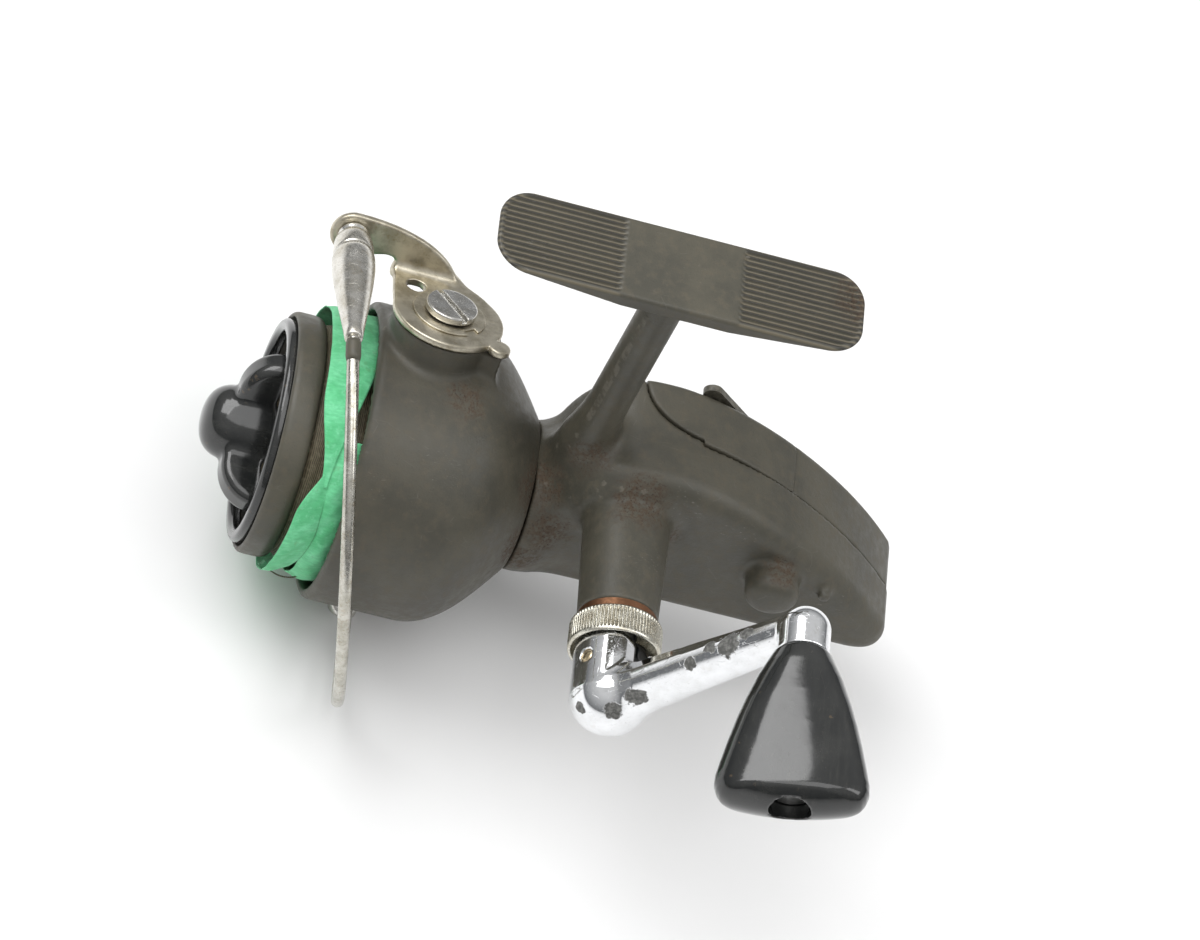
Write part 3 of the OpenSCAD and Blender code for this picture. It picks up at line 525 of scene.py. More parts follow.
def olive_paint(name="olive_paint", rust_spots=(), scuffs=(), tone=1.0, rib_pitch=0.0, rib_start=0.0):
    """Satin olive-grey paint on cast metal, with rust tints, rubbed spots and pale scuffs.
    rust_spots are (place, size) and scuffs (place, size) in reel axes. A rib pitch above 0 gives painted
    shade in the grooves along X and painted highlights on the rib crests, farther than rib_start from the
    stem."""
    s = Shade(name)
    broad = s.noise(0.09, 4.0, 0.6)
    mottled = s.noise(0.55, 5.0, 0.65)
    grain = s.noise(3.2, 3.0, 0.6)
    base = s.mix(s.step(broad, 0.35, 0.68), (0.056 * tone, 0.053 * tone, 0.040 * tone),
                 (0.076 * tone, 0.070 * tone, 0.051 * tone))
    base = s.glaze(s.step(mottled, 0.45, 0.72), 0.5, base, (0.096 * tone, 0.080 * tone, 0.053 * tone))
    base = s.glaze(s.step(grain, 0.55, 0.75), 0.35, base, (0.038, 0.034, 0.027))
    if rib_pitch:
        x, y, z = s.split(s.place)
        crest = s.math("COSINE", s.math("MULTIPLY", y, 2 * math.pi / rib_pitch))
        ends = s.step(s.math("ABSOLUTE", s.math("ADD", x, STEM_BACK)), rib_start, rib_start + 0.8)
        ends = s.both(ends, s.step(z, SEAT_Z - 1.6, SEAT_Z - 1.2))
        # Painted shade in the foot's rib grooves, then painted highlights on the rib crests
        base = s.mix(s.both(ends, s.step(crest, -0.9, 0.1, 0.85, 0.0)), base, (0.020, 0.018, 0.014))
        base = s.mix(s.both(ends, s.step(crest, 0.3, 1.0, 0.0, 0.75)), base, (0.150, 0.128, 0.085))
    specks = s.both(s.step(s.noise(5.0, 2.0, 0.5), 0.70, 0.76), s.step(mottled, 0.4, 0.6))
    base = s.glaze(specks, 0.45, base, (0.13, 0.115, 0.085))
    rough = s.blend(s.step(mottled, 0.3, 0.7), 0.40, 0.56)
    if rust_spots:
        mask = s.any(*[s.near(spot, size * 0.35, size, wobble=size * 0.9, scale=0.5) for spot,
                       size in rust_spots])
        patchy = s.both(mask, s.step(s.noise(1.3, 5.0, 0.7), 0.36, 0.60))
        base = s.glaze(patchy, 0.62, base, (0.068, 0.036, 0.017))
        pits = s.both(mask, s.step(s.noise(2.6, 4.0, 0.7), 0.56, 0.66))
        base = s.glaze(pits, 0.8, base, (0.018, 0.013, 0.010))
        rough = s.blend(patchy, rough, 0.8)
    if scuffs:
        mask = s.any(*[s.near(spot, size * 0.4, size, wobble=size, scale=0.3) for spot, size in scuffs])
        strokes = s.noise(1.0, 4.0, 0.75, place=s.stretch(s.place, 0.9, 2.8, 1.7), distortion=0.4)
        worn = s.both(mask, s.step(strokes, 0.60, 0.70))
        base = s.glaze(worn, 0.55, base, (0.21, 0.20, 0.175))
        rough = s.blend(worn, rough, 0.38)
    lines = s.cells(0.22, "DISTANCE_TO_EDGE", place=s.stretch(s.place, 0.5, 1.6, 1.2))
    scratch = s.both(s.step(lines, 0.0, 0.012, 1.0, 0.0), s.step(s.noise(0.35, 2.0), 0.56, 0.66))
    base = s.glaze(scratch, 0.30, base, (0.15, 0.14, 0.12))
    rubbed = s.both(s.edges(0.535, 0.60), s.step(s.noise(0.8, 4.0, 0.65), 0.42, 0.6))
    base = s.glaze(rubbed, 0.50, base, (0.17, 0.155, 0.125))
    peel = s.math("ADD", s.math("MULTIPLY", s.noise(1.6, 3.0, 0.55), 0.7), s.math("MULTIPLY", grain, 0.3))
    s.set(color=base, rough=rough, metal=0.0, level=0.5, normal=s.bump(peel, 0.07, 0.55))
    return s.mat


def plated(name, tint, dark, tarnish, rough=(0.16, 0.34), matrix=None, chips=(),
           chip_color=(0.10, 0.10, 0.095),
           stain=(0.30, 0.22, 0.12), stains=0.35, pits=0.6):
    """Plated metal with a tarnished film, fine scratches, rust pits and chips through the plating."""
    s = Shade(name, matrix)
    cloud = s.noise(0.35, 5.0, 0.6)
    fine = s.noise(2.4, 4.0, 0.6)
    color = s.mix(s.step(cloud, 0.35, 0.7), tint, dark)
    color = s.mix(s.both(s.step(fine, 0.5, 0.75), s.math("MULTIPLY", s.step(cloud, 0.4, 0.6), tarnish)),
                  color, stain)
    film = s.both(s.step(s.noise(0.9, 5.0, 0.7), 0.52, 0.68), s.step(s.noise(0.22, 2.0), 0.45, 0.62))
    color = s.glaze(film, stains, color, stain)
    hair = s.cells(0.8, "DISTANCE_TO_EDGE", place=s.stretch(s.place, 0.35, 1.5, 1.5))
    scratch = s.both(s.step(hair, 0.0, 0.018, 1.0, 0.0), s.step(s.noise(0.6, 2.0), 0.5, 0.62))
    spots = s.step(s.noise(3.1, 3.0, 0.65), 0.67, 0.71)
    color = s.glaze(spots, pits, color, (0.07, 0.05, 0.035))
    gloss = s.blend(s.step(fine, 0.35, 0.7), rough[0], rough[1])
    gloss = s.blend(scratch, gloss, min(rough[1] + 0.2, 0.7))
    height = s.math("SUBTRACT", s.math("MULTIPLY", fine, 0.25),
                    s.math("MULTIPLY", s.any(scratch, spots), 0.6))
    metal = 1.0
    normal = s.bump(height, 0.03, 0.6)
    if chips:
        masks = [s.near(spot, size * 0.86, size, wobble=size * 1.3, scale=1.0) for spot, size in chips]
        chip = s.any(*masks)
        grey = s.mix(s.step(s.noise(1.6, 4.0, 0.6), 0.4, 0.65), chip_color,
                     tuple(c * 2.2 for c in chip_color))
        color = s.mix(chip, color, grey)
        gloss = s.blend(chip, gloss, 0.62)
        normal = s.bump(s.math("SUBTRACT", 1.0, chip), 0.08, 0.9, before=normal)
        metal = s.blend(chip, 1.0, 0.35)
    s.set(color=color, rough=gloss, metal=metal, normal=normal)
    return s.mat


def black_plastic(name, matrix=None, wear_color=(0.16, 0.11, 0.06)):
    """Glossy black phenolic plastic, faintly grey, with hairline scratches and patches of dust."""
    s = Shade(name, matrix)
    cloud = s.noise(0.16, 4.0, 0.55)
    color = s.mix(s.step(cloud, 0.35, 0.7), (0.011, 0.012, 0.012), (0.020, 0.021, 0.020))
    streak = s.noise(1.0, 4.0, 0.6, place=s.stretch(s.place, 0.9, 0.9, 0.12))
    color = s.glaze(s.step(streak, 0.45, 0.75), 0.5, color, (0.032, 0.033, 0.030))
    hair = s.cells(0.5, "DISTANCE_TO_EDGE", place=s.stretch(s.place, 1.8, 1.6, 0.35))
    scratch = s.both(s.step(hair, 0.0, 0.012, 1.0, 0.0), s.step(s.noise(0.5, 2.0), 0.55, 0.65))
    dust = s.both(s.step(s.noise(2.2, 5.0, 0.7), 0.60, 0.70), s.step(cloud, 0.4, 0.6))
    color = s.glaze(s.any(scratch, dust), 0.25, color, (0.12, 0.11, 0.09))
    rubbed = s.both(s.edges(0.54, 0.62), s.step(s.noise(1.1, 4.0, 0.6), 0.50, 0.62))
    color = s.glaze(rubbed, 0.35, color, wear_color)
    rough = s.blend(s.any(scratch, s.step(cloud, 0.5, 0.8)), 0.13, 0.24)
    s.set(color=color, rough=rough, metal=0.0, level=0.55, coat=0.3, coat_rough=0.08,
          normal=s.bump(s.noise(0.5, 3.0, 0.5), 0.05, 0.35))
    return s.mat


def bare_metal(name, tint, rough=(0.28, 0.42), spin=None):
    """Turned bare metal: fine rings about the spin axis and oil stains."""
    s = Shade(name)
    cloud = s.noise(0.5, 4.0, 0.6)
    color = s.mix(s.step(cloud, 0.4, 0.75), tint, tuple(c * 0.62 for c in tint))
    if spin is None:
        rings = s.noise(1.0, 3.0, 0.6, place=s.stretch(s.place, 0.4, 3.0, 3.0))
    else:
        x, y, z = s.split(s.place)
        radius = s.math("SQRT", s.math("ADD", s.math("MULTIPLY", y, y), s.math("MULTIPLY", z, z)))
        wobble = s.math("MULTIPLY", s.noise(0.3, 2.0), 0.6)
        line = s.add("ShaderNodeCombineXYZ")
        s.put(line.inputs[0], s.math("ADD", radius, wobble))
        rings = s.noise(spin, 2.0, 0.8, place=line.outputs[0])
    film = s.step(s.noise(0.8, 5.0, 0.7), 0.55, 0.7)
    color = s.glaze(film, 0.3, color, (0.10, 0.075, 0.045))
    gloss = s.blend(s.step(rings, 0.35, 0.7), rough[0], rough[1])
    s.set(color=color, rough=gloss, metal=1.0, normal=s.bump(rings, 0.02, 0.4))
    return s.mat


def line_material():
    """Old braided line, olive-brown, its turns lying side by side, with painted shade where the turns meet.
    """
    s = Shade("fishing_line", shaft_matrix())
    x, y, z = s.split(s.place)
    turn = s.math("ADD", s.math("MULTIPLY", z, 3.2), s.math("MULTIPLY", s.noise(0.4, 2.0), 1.4))
    strand = s.math("PINGPONG", turn, 0.5)
    # Painted shade: each turn is light in its middle and dark at its edges, where it meets the next turn
    color = s.mix(s.step(strand, 0.0, 0.45), (0.035, 0.028, 0.016), (0.14, 0.115, 0.068))
    color = s.glaze(s.step(s.noise(1.2, 4.0), 0.45, 0.7), 0.5, color, (0.20, 0.17, 0.11))
    s.set(color=color, rough=s.blend(strand, 0.7, 0.45), metal=0.0, normal=s.bump(strand, 0.12, 0.8))
    return s.mat


def tape_material():
    """Crepe paper tape, mint green, creased, with painted shade in its folds."""
    s = Shade("paper_tape", shaft_matrix())
    x, y, z = s.split(s.place)
    angle = s.math("ARCTAN2", y, x)
    crepe_place = s.add("ShaderNodeCombineXYZ")
    s.put(crepe_place.inputs[0], s.math("MULTIPLY", angle, 46.0))
    s.put(crepe_place.inputs[1], s.math("MULTIPLY", z, 0.55))
    crepe = s.noise(1.0, 4.0, 0.6, place=crepe_place.outputs[0])
    cloud = s.noise(0.22, 4.0, 0.55)
    color = s.mix(s.step(cloud, 0.35, 0.7), (0.115, 0.56, 0.245), (0.205, 0.72, 0.38))
    # Painted shade in the crepe's folds: darker where the crepe is low
    color = s.glaze(s.step(crepe, 0.35, 0.65, 1.0, 0.0), 0.35, color, (0.06, 0.40, 0.16))
    color = s.glaze(s.step(s.noise(0.9, 5.0, 0.7), 0.5, 0.7), 0.3, color, (0.32, 0.82, 0.52))
    stained = s.step(s.noise(0.5, 3.0), 0.62, 0.75)
    color = s.glaze(stained, 0.35, color, (0.16, 0.30, 0.12))
    s.set(color=color, rough=0.82, metal=0.0, sheen=0.15, sheen_rough=0.6, level=0.25,
          normal=s.bump(s.math("ADD", s.math("MULTIPLY", crepe, 0.7), s.math("MULTIPLY", cloud, 0.3)), 0.16,
                        0.7))
    return s.mat


# ---------------------------------------------------------------- the casing
MID_Y, HALF_Y = (SIDE_Y + FAR_Y) / 2, (SIDE_Y - FAR_Y) / 2
casing_side = Outline(np.concatenate([
    [[-35, -8.5]],
    bezier((-34.6, 4), (-35.5, 16.5), (-38, 26), (-50, 26), 24),
    bezier((-52, 26), (-64, 25), (-84, 15.5), (-98.9, -2.5), 30),
    bezier((-99.6, -4), (-100.4, -7), (-98, -9.5), (-93.5, -9.5), 10),
    [[-36, -9.5]]]))
neck_side = Outline(np.concatenate([
    [[-32.2, -6], [-32.2, NECK_R]],
    bezier((-34, NECK_R), (-35.5, NECK_R), (-37.5, 10.8), (-40.5, 9.4), 10),
    [[-46, 8.0], [-46, -6]]]))
stem_side = Outline(np.concatenate([
    [[-4, 12], [5.6, 12], [5.0, 19]],
    bezier((4.9, 21), (4.4, 24), (3.6, 27), (STEM_R + 0.02, 34), 10),
    [[STEM_R, 61]],
    bezier((STEM_R, 63.5), (STEM_R + 0.1, 66.6), (4.4, 68.0), (6.4, 69.2), 8),
    [[-4, 69.2]]]))
boss_side = Outline(np.concatenate([
    [[-4, 4], [8.4, 4], [8.2, SIDE_Y]],
    bezier((8.0, SIDE_Y + 0.4), (7.4, SIDE_Y + 1.1), (7.3, SIDE_Y + 2), (7.28, SIDE_Y + 4), 6),
    [[6.75, 29.4], [6.45, 29.7], [-4, 29.7]]]))
dome_side = Outline(np.concatenate([
    [[-3, 4], [4.75, 4], [4.6, 10.5]],
    bezier((4.6, 12.8), (4.5, 14.6), (3.0, 15.4), (0, 15.4), 10),
    [[-3, 15.4]]]))
SCREWS = ((-90, -6), (-82, 8), (-66, -6.8))


def casing_outer(x, y, z):
    side = casing_side(x, z)
    edge = np.where(y > MID_Y, 3.9, 1.3)
    return rounded_edge(side, np.abs(y - MID_Y) - HALF_Y, edge)


def stem_distance(x, y, z):
    return stem_side(np.hypot(x + STEM_BACK, y), z)


def cover_region(x, y, z):
    """Below 0 where the side cover is."""
    low = np.maximum(np.maximum(y - SEAM_Y, x - COVER_FRONT), z - COVER_STEP_Z)
    ellipse = (np.sqrt((np.maximum(x + 57, 0) / 11) ** 2 + (np.maximum(y - FAR_Y, 0) / 9.3) ** 2) - 1) * 9.3
    high = np.maximum(np.where(x < -57, y - SEAM_Y, ellipse), COVER_STEP_Z - z)
    return np.minimum(low, high)


def box_distance(x, y, z, low, high):
    d = [np.abs(v - (a + b) / 2) - (b - a) / 2 for v, a, b in zip((x, y, z), low, high)]
    return np.maximum(np.maximum(d[0], d[1]), d[2])


def housing_distance(x, y, z):
    shell = casing_outer(x, y, z)
    # The casting's top is a little lower than the cover's lip behind the stem
    shell = shell + 0.55 * np.clip((z - 15) / 6, 0, 1) * np.clip((-x - 44) / 5, 0, 1) \
        * np.clip((2.5 - y) / 3.5, 0, 1) * np.clip((x + 72) / 12, 0, 1)
    hollow = np.maximum(casing_outer(x, y, z) + WALL, x - CAVITY_FRONT)
    r = np.hypot(y, z)
    d = blend_min(shell, neck_side(x, r), 3.4)
    d = blend_min(d, stem_distance(x, y, z), 3.2)
    boss = np.hypot(x - HANDLE_X, z - HANDLE_Z)
    d = blend_min(d, boss_side(boss, y), 2.2)
    lever = np.hypot(x - LEVER_X, z - LEVER_Z)
    d = blend_min(d, dome_side(lever, y), 1.3)
    nub = np.hypot(x + 85, z - 7.3)
    d = blend_min(d, rod(y, nub, 5, 11.0, 1.0, 0.6), 1.1)
    d = np.maximum(d, -hollow)
    d = np.maximum(d, 0.08 - cover_region(x, y, z))
    # Lugs that carry the bushes, and the screw posts
    lugs = np.minimum(np.maximum(box_distance(x, y, z, (-59.5, -4, -6.2), (-56.9, 8.4, 6.2)),
                                 SHAFT_BORE_R - r),
                      np.maximum(box_distance(x, y, z, (-84, -3.2, -5), (-80, 8.4, 5)), 4 - r))
    for sx, sz in SCREWS:
        post = np.hypot(x - sx, z - sz)
        lugs = np.minimum(lugs, np.maximum(rod(y, post, SEAM_Y + 0.3, 8.4, 2.3, 0.2), 1.1 - post))
    lugs = np.maximum(lugs, casing_outer(x, y, z) + 0.8)
    d = np.minimum(d, lugs)
    d = np.maximum(d, -np.maximum(r - BEARING_R, -37.6 - x))
    d = np.maximum(d, -np.maximum(r - SHAFT_BORE_R, -41 - x))
    d = np.maximum(d, -np.maximum(boss - HANDLE_BORE_R, 7 - y))
    return np.maximum(d, z - 62.0)


def cover_distance(x, y, z):
    lip = np.clip((z - 10) / 8, 0, 1) * np.clip((x + 82) / 20, 0, 1)
    outer = casing_outer(x, y, z) + 0.15 - 0.15 * lip
    inner = casing_outer(x, y, z) + WALL
    d = np.maximum(outer, -inner)
    d = rounded_edge(d, cover_region(x, y, z) + 0.08, 0.22)
    d = np.maximum(d, -rod(y, np.hypot(x - LEVER_X, z - LEVER_Z), -14, -6, 1.54, 0.05))
    for sx, sz in SCREWS:
        post = np.hypot(x - sx, z - sz)
        d = np.maximum(d, -np.minimum(rod(y, post, -14, -6, 1.4, 0.05),
                                      rod(y, post, -14, FAR_Y + 0.8, 2.4, 0.05)))
    return d


FOOT_L, FOOT_W, FOOT_R = 61.4, 15.6, 5.5
RIB_PITCH, RIB_START = FOOT_W / 14.4, 9.6


def foot_distance(x, y, z):
    u = x + STEM_BACK
    au = np.abs(u)
    side_x, side_y = au - FOOT_L / 2 + FOOT_R, np.abs(y) - FOOT_W / 2 + FOOT_R
    corner = np.hypot(np.maximum(side_x, 0), np.maximum(side_y, 0))
    plan = np.minimum(np.maximum(side_x, side_y), 0) + corner - FOOT_R
    ribs = 0.5 + 0.5 * np.cos(2 * np.pi * y / RIB_PITCH)
    fade = np.clip((au - RIB_START) / 0.9, 0, 1) * np.clip((-plan - 0.35) / 0.7, 0, 1)
    crown = 0.012 * y * y * 0.35
    top = z - SEAT_Z + crown * 0.4 + 0.50 * ribs * fade
    thick = 4.0 - 2.6 * np.clip((au - 9) / 21, 0, 1)
    under = (SEAT_Z - thick + 0.012 * y * y) - z
    d = rounded_edge(plan, np.maximum(top, under), 0.75)
    return blend_min(d, np.maximum(stem_distance(x, y, z), 61.0 - z), 1.6)


STEP = 1.0
rust = [((-34.5, 4, 11), 7.0), ((-36, 9, 6), 6.0), ((-33.5, 11, 0), 5.0), ((-38.7, 3, 22), 5.5),
        ((-47.7, 11, 22), 6.5), ((-54, 11, 13), 5.0), ((-47.7, 30, 14.8), 4.0), ((-75.5, 11, 12), 4.0)]
scuffs = [((-56, 8.5, 21), 6.0), ((-66, 8.5, 17), 5.5), ((-50, 22, 21), 6.0), ((-86, 9, 3), 5.0),
          ((-45, 7.5, 20), 4.5)]
paint = olive_paint("olive_paint", rust, scuffs)

add_piece("reel_casing", *solid(housing_distance, (-101, -12.4, -10.5), (-31.5, 30.4, 63), 0.42 * STEP),
          reel_matrix(), paint, "casing", "olive_paint", ["gear_housing"])
add_piece("casing_side_cover", *solid(cover_distance, (-101, -12.4, -10.5), (-39.5, -0.5, 27.2), 0.36 * STEP),
          reel_matrix(), paint, "casing", "olive_paint", ["side_cover"])
# The foot's paint carries painted shade in its rib grooves and painted highlights on the rib crests
foot_paint = olive_paint("olive_paint_foot", [((-68, -3, 72), 6)],
                         [((-12, 4, 72.4), 7.0), ((-40, 0, 72.4), 3.0)], 1.05,
                         RIB_PITCH, RIB_START)
add_piece("reel_foot", *solid(foot_distance, (-69.5, -8.2, 60.5), (-6.5, 8.2, 73), 0.21 * STEP),
          reel_matrix(), foot_paint, "casing", "olive_paint", ["gear_housing"])

# ---------------------------------------------------------------- the rotor
cup_side = Outline(np.concatenate([
    [[-0.25, ROTOR_R - 0.65], [-0.7, ROTOR_R - 0.15], [-1.4, ROTOR_R]],
    bezier((-16, ROTOR_R), (-22.7, ROTOR_R), (-27, 19.5), (-31.4, 13.9), 20),
    [[-31.8, 13.3], [-31.8, -6], [-29.5, -6], [-29.5, 11.5]],
    bezier((-29.4, 12.5), (-25.5, 18.5), (-22.5, ROTOR_R - ROTOR_WALL), (-16, ROTOR_R - ROTOR_WALL), 16),
    [[-0.4, ROTOR_R - ROTOR_WALL], [0.0, ROTOR_R - 1.2]]]))


def bail_axes(x, y, z):
    c, s = math.cos(BAIL_TILT), math.sin(BAIL_TILT)
    return x - PIVOT_X, y * c + z * s, -y * s + z * c


def rotor_distance(x, y, z):
    r = np.hypot(y, z)
    f, h, s = bail_axes(x, y, z)
    pivot = np.hypot(f, h)
    ear = rod(s, pivot, 14, EAR_TOP, 9.0, 0.55)
    block = box_distance(f, h, s, (-9.7, -6.4, 14), (-3.6, 6.4, EAR_TOP - 0.5))
    ear = blend_min(ear, block, 0.5)
    ear = blend_min(ear, rod(-s, pivot, 14, 27, 4.6, 0.5), 0.1)
    d = blend_min(cup_side(x, r), np.maximum(ear, ROTOR_R - 2.5 - r), 1.5)
    d = np.maximum(d, -np.maximum(np.maximum(r - (ROTOR_R - ROTOR_WALL), -16 - x), x - 30))
    pocket = np.maximum(np.abs(pivot - 4.75) - 1.55, EAR_TOP - 2.4 - s)
    d = np.maximum(d, -pocket)
    d = np.maximum(d, -np.maximum(pivot - 1.9, 20 - s))
    d = np.maximum(d, -np.maximum(pivot - 1.4, 20 + s))
    return np.maximum(d, 4.0 - r)


rotor_paint = olive_paint("olive_paint_rotor",
                          [((-31, 12, 4), 6.0), ((-31, 6, 12), 6.0), ((-16, 2, 27), 5.0)],
                          [((-14, 14, 21), 5.0), ((-3, 18, 18), 4.0)], 0.98)
add_piece("rotor_bowl", *solid(rotor_distance, (-32.5, -28, -29), (0.8, 28, 30), 0.44 * STEP),
          reel_matrix(), rotor_paint, "rotor", "olive_paint", ["rotor_cup"])

# ---------------------------------------------------------------- bail arm, wire and their fittings
aged = plated("aged_nickel", (0.62, 0.575, 0.47), (0.40, 0.365, 0.28), 0.55, (0.30, 0.48), pits=0.35)
bright = plated("bright_nickel", (0.78, 0.77, 0.74), (0.60, 0.585, 0.54), 0.25, (0.14, 0.26), stains=0.2)
wire_metal = plated("wire_nickel", (0.60, 0.585, 0.53), (0.38, 0.365, 0.31), 0.45, (0.18, 0.32), stains=0.5,
                    pits=0.7)
cone_metal = plated("cone_nickel", (0.74, 0.72, 0.67), (0.55, 0.525, 0.46), 0.35, (0.20, 0.32), stains=0.4,
                    pits=0.6)
web_side = Outline(rounded([(-7.4, -6.2), (-1.9, FOLD_H - 0.65), (9.4, FOLD_H - 0.65), (9.5, -1), (0, 0)],
                           [3.0, 0.5, 0.5, 3.0, 0.2]))
lobe_arc = np.radians(np.linspace(92, -98, 24))
flange_side = Outline(np.concatenate([
    bezier((-1.9, PLATE_LOW), (-0.8, 34.6), (6.0, 38.8), (ROLLER_F - 0.2, ROLLER_S + 3.9), 20),
    np.stack([ROLLER_F + 3.9 * np.cos(lobe_arc), ROLLER_S + 3.9 * np.sin(lobe_arc)], 1),
    bezier((16.9, 31.2), (13.2, 31.9), (9.7, 34.6), (9.4, 31.0), 12), [[9.4, PLATE_LOW]]]))


def arm_distance(f, h, s):
    disc = blend_min(np.hypot(f, h) - 9.5, web_side(f, h), 1.0)
    disc = np.minimum(disc, np.hypot(f + 8.7, h - 6.2) - 1.9)
    plate = rounded_edge(disc, np.abs(s - PLATE_LOW - PLATE_T / 2) - PLATE_T / 2, 0.35)
    plate = np.maximum(plate, FOLD_H - 0.65 - h)
    flange = rounded_edge(flange_side(f, s), np.abs(h - FOLD_H) - PLATE_T / 2, 0.42)
    d = blend_min(plate, flange, 1.9)
    d = np.maximum(d, 2.64 - np.hypot(f, h))
    d = np.maximum(d, -rounded_edge(np.hypot(f - 5.6, h + 6.4) - 1.75, np.abs(s - PLATE_LOW) - 3, 0.1))
    return np.maximum(d, 1.2 - np.hypot(f - ROLLER_F, s - ROLLER_S) + 0 * h)


add_piece("bail_arm_plate", *solid(arm_distance, (-11.5, -12.2, 29.2), (22.4, 10.6, 39.6), 0.25 * STEP),
          bail_matrix(), aged, "bail", "aged_nickel", ["bail_arm"])

WASHER_TOP = PLATE_LOW + PLATE_T + 0.3


def washer_distance(f, h, s):
    r = np.hypot(f, h)
    c, n = math.cos(math.radians(130)), math.sin(math.radians(130))
    along, across = f * c + h * n, -f * n + h * c
    d = rounded_edge(r - 6.3, np.abs(s - WASHER_TOP + 0.15) - 0.15, 0.1)
    d = np.maximum(d, 2.65 - r)
    return np.maximum(d, -np.maximum(5.1 - along, np.abs(across) - 1.2))


add_piece("pivot_washer_ring", *solid(washer_distance, (-6.8, -6.8, 30.7), (6.8, 6.8, 31.6), 0.15 * STEP),
          bail_matrix(), aged, "bail", "aged_nickel", ["pivot_washer"])


def screw_distance(f, h, s):
    r = np.hypot(f, h)
    low = WASHER_TOP + 0.3
    head = rounded_edge(r - 4.4, np.abs(s - low - 0.7) - 0.7, 0.3)
    d = np.minimum(head, rod(s, r, EAR_TOP, low + 0.5, 2.6, 0.05))
    d = np.minimum(d, rod(s, r, EAR_TOP - 3.5, EAR_TOP + 1, 1.9, 0.1))
    c, n = math.cos(math.radians(121)), math.sin(math.radians(121))
    across = -f * n + h * c
    return np.maximum(d, -np.maximum(np.abs(across) - 0.52, low + 0.55 - s))


add_piece("pivot_screw_head", *solid(screw_distance, (-4.8, -4.8, 25.6), (4.8, 4.8, 33.4), 0.17 * STEP),
          bail_matrix(), bright, "rotor", "chrome_plate", ["bail_pivot_screw"])

# Wire: its eye, its short leg and the long arc to the cone
BAIL_R, WIRE_HALF, WIRE_LEAN, WIRE_F = 42.6, math.radians(58.7), math.atan(18 / 70), 8.7
arc = []
for t in np.linspace(-WIRE_HALF, WIRE_HALF, 121):
    u = BAIL_R * math.sin(t)
    arc.append((WIRE_F + u * math.sin(WIRE_LEAN), BAIL_R * math.cos(t) - 1, u * math.cos(WIRE_LEAN)))
arc = np.array(arc)
low_end = arc[0]
eye = np.array([0.0, 2.6, WIRE_EYE_S])
bend = bezier(eye, eye + (low_end - eye) * 0.5, low_end - (arc[3] - arc[0]) * 0.25, arc[3], 14)
path = np.concatenate([bend, arc[4:]])
add_piece("bail_wire_bow", *sweep(path, WIRE_R, 24), bail_matrix(), wire_metal, "bail", "aged_nickel",
          ["bail_wire"])


def eye_distance(f, h, s):
    r = np.hypot(f, h)
    d = rounded_edge(r - 3.4, np.abs(s - WIRE_EYE_S) - 0.9, 0.35)
    return np.maximum(d, 1.76 - r)


add_piece("bail_wire_eye", *solid(eye_distance, (-3.8, -3.8, -29.4), (3.8, 3.8, -27), 0.18 * STEP),
          bail_matrix(), aged, "bail", "aged_nickel", ["bail_wire"])

roller_matrix = bail_matrix() @ Matrix.Translation((ROLLER_F, 0, ROLLER_S)) @ Z_TO_Y
cone = np.concatenate([[[0, -8]], [[2.7, -8]], bezier((3.0, -8), (3.3, -7.7), (3.4, -5.8), (3.4, -4.0), 6),
                       [[3.34, -3.75], [3.18, -3.65], [3.18, -3.5], [3.42, -3.35]],
                       bezier((3.62, -2.0), (3.75, 3.5), (2.5, 11.5), (1.5, 21.4), 20),
                       [[1.3, 21.6], [0, 21.6]]])
add_piece("bail_cone_body", *spindle(cone, 96), roller_matrix, cone_metal, "bail", "aged_nickel",
          ["bail_cone"])
near_cone = arc[(arc[:, 2] > 0) & (arc[:, 1] > 21.2) & (arc[:, 1] < 25.0)]
verts, faces = sweep(near_cone, np.interp(np.arange(len(near_cone)),
                                          [0, 1, len(near_cone) - 2, len(near_cone) - 1],
                                          [1.12, 1.27, 1.27, 1.12]), 32)
add_piece("wire_painted_band", verts, faces, bail_matrix(), olive_paint("olive_paint_band", tone=1.1),
          "bail", "olive_paint", ["bail_wire"])
stud_matrix = bail_matrix() @ Matrix.Translation((ROLLER_F, FOLD_H, ROLLER_S)) @ Z_TO_Y
stud = np.concatenate([[[0, -1.7]], bezier((1.0, -1.7), (1.6, -1.68), (1.95, -1.5), (2.0, -1.2), 5),
                       [[2.0, -0.66], [1.2, -0.62], [1.2, 2.8], [0, 2.8]]])
add_piece("roller_stud_rivet", *spindle(stud, 64), stud_matrix, aged, "bail", "aged_nickel",
          ["roller_stud"])
roller = np.concatenate([[[1.26, 0.87], [2.4, 0.87]],
                         bezier((2.7, 0.9), (2.72, 1.2), (2.45, 1.5), (2.42, 1.75), 5),
                         bezier((2.42, 1.8), (2.5, 2.1), (2.72, 2.3), (2.68, 2.55), 5),
                         [[2.4, 2.58], [1.26, 2.58]]])
add_piece("line_roller_ring", *lathe(roller, 72), stud_matrix, bright, "roller", "aged_nickel",
          ["line_roller"])

bolt_matrix = bail_matrix() @ Matrix.Rotation(math.pi, 4, "X")
bolt = np.concatenate([[[0, 24.5], [1.35, 24.5], [1.35, 27.05], [1.68, 27.1], [1.68, 29.4], [2.3, 29.42],
                        [2.5, 29.6]],
                       [[2.5, 31.0]], bezier((2.5, 31.3), (2.3, 31.7), (1.2, 31.8), (0, 31.8), 6)])
add_piece("rear_bolt_head", *spindle(bolt, 64), bolt_matrix, bright, "rotor", "steel", ["rear_pivot_bolt"])

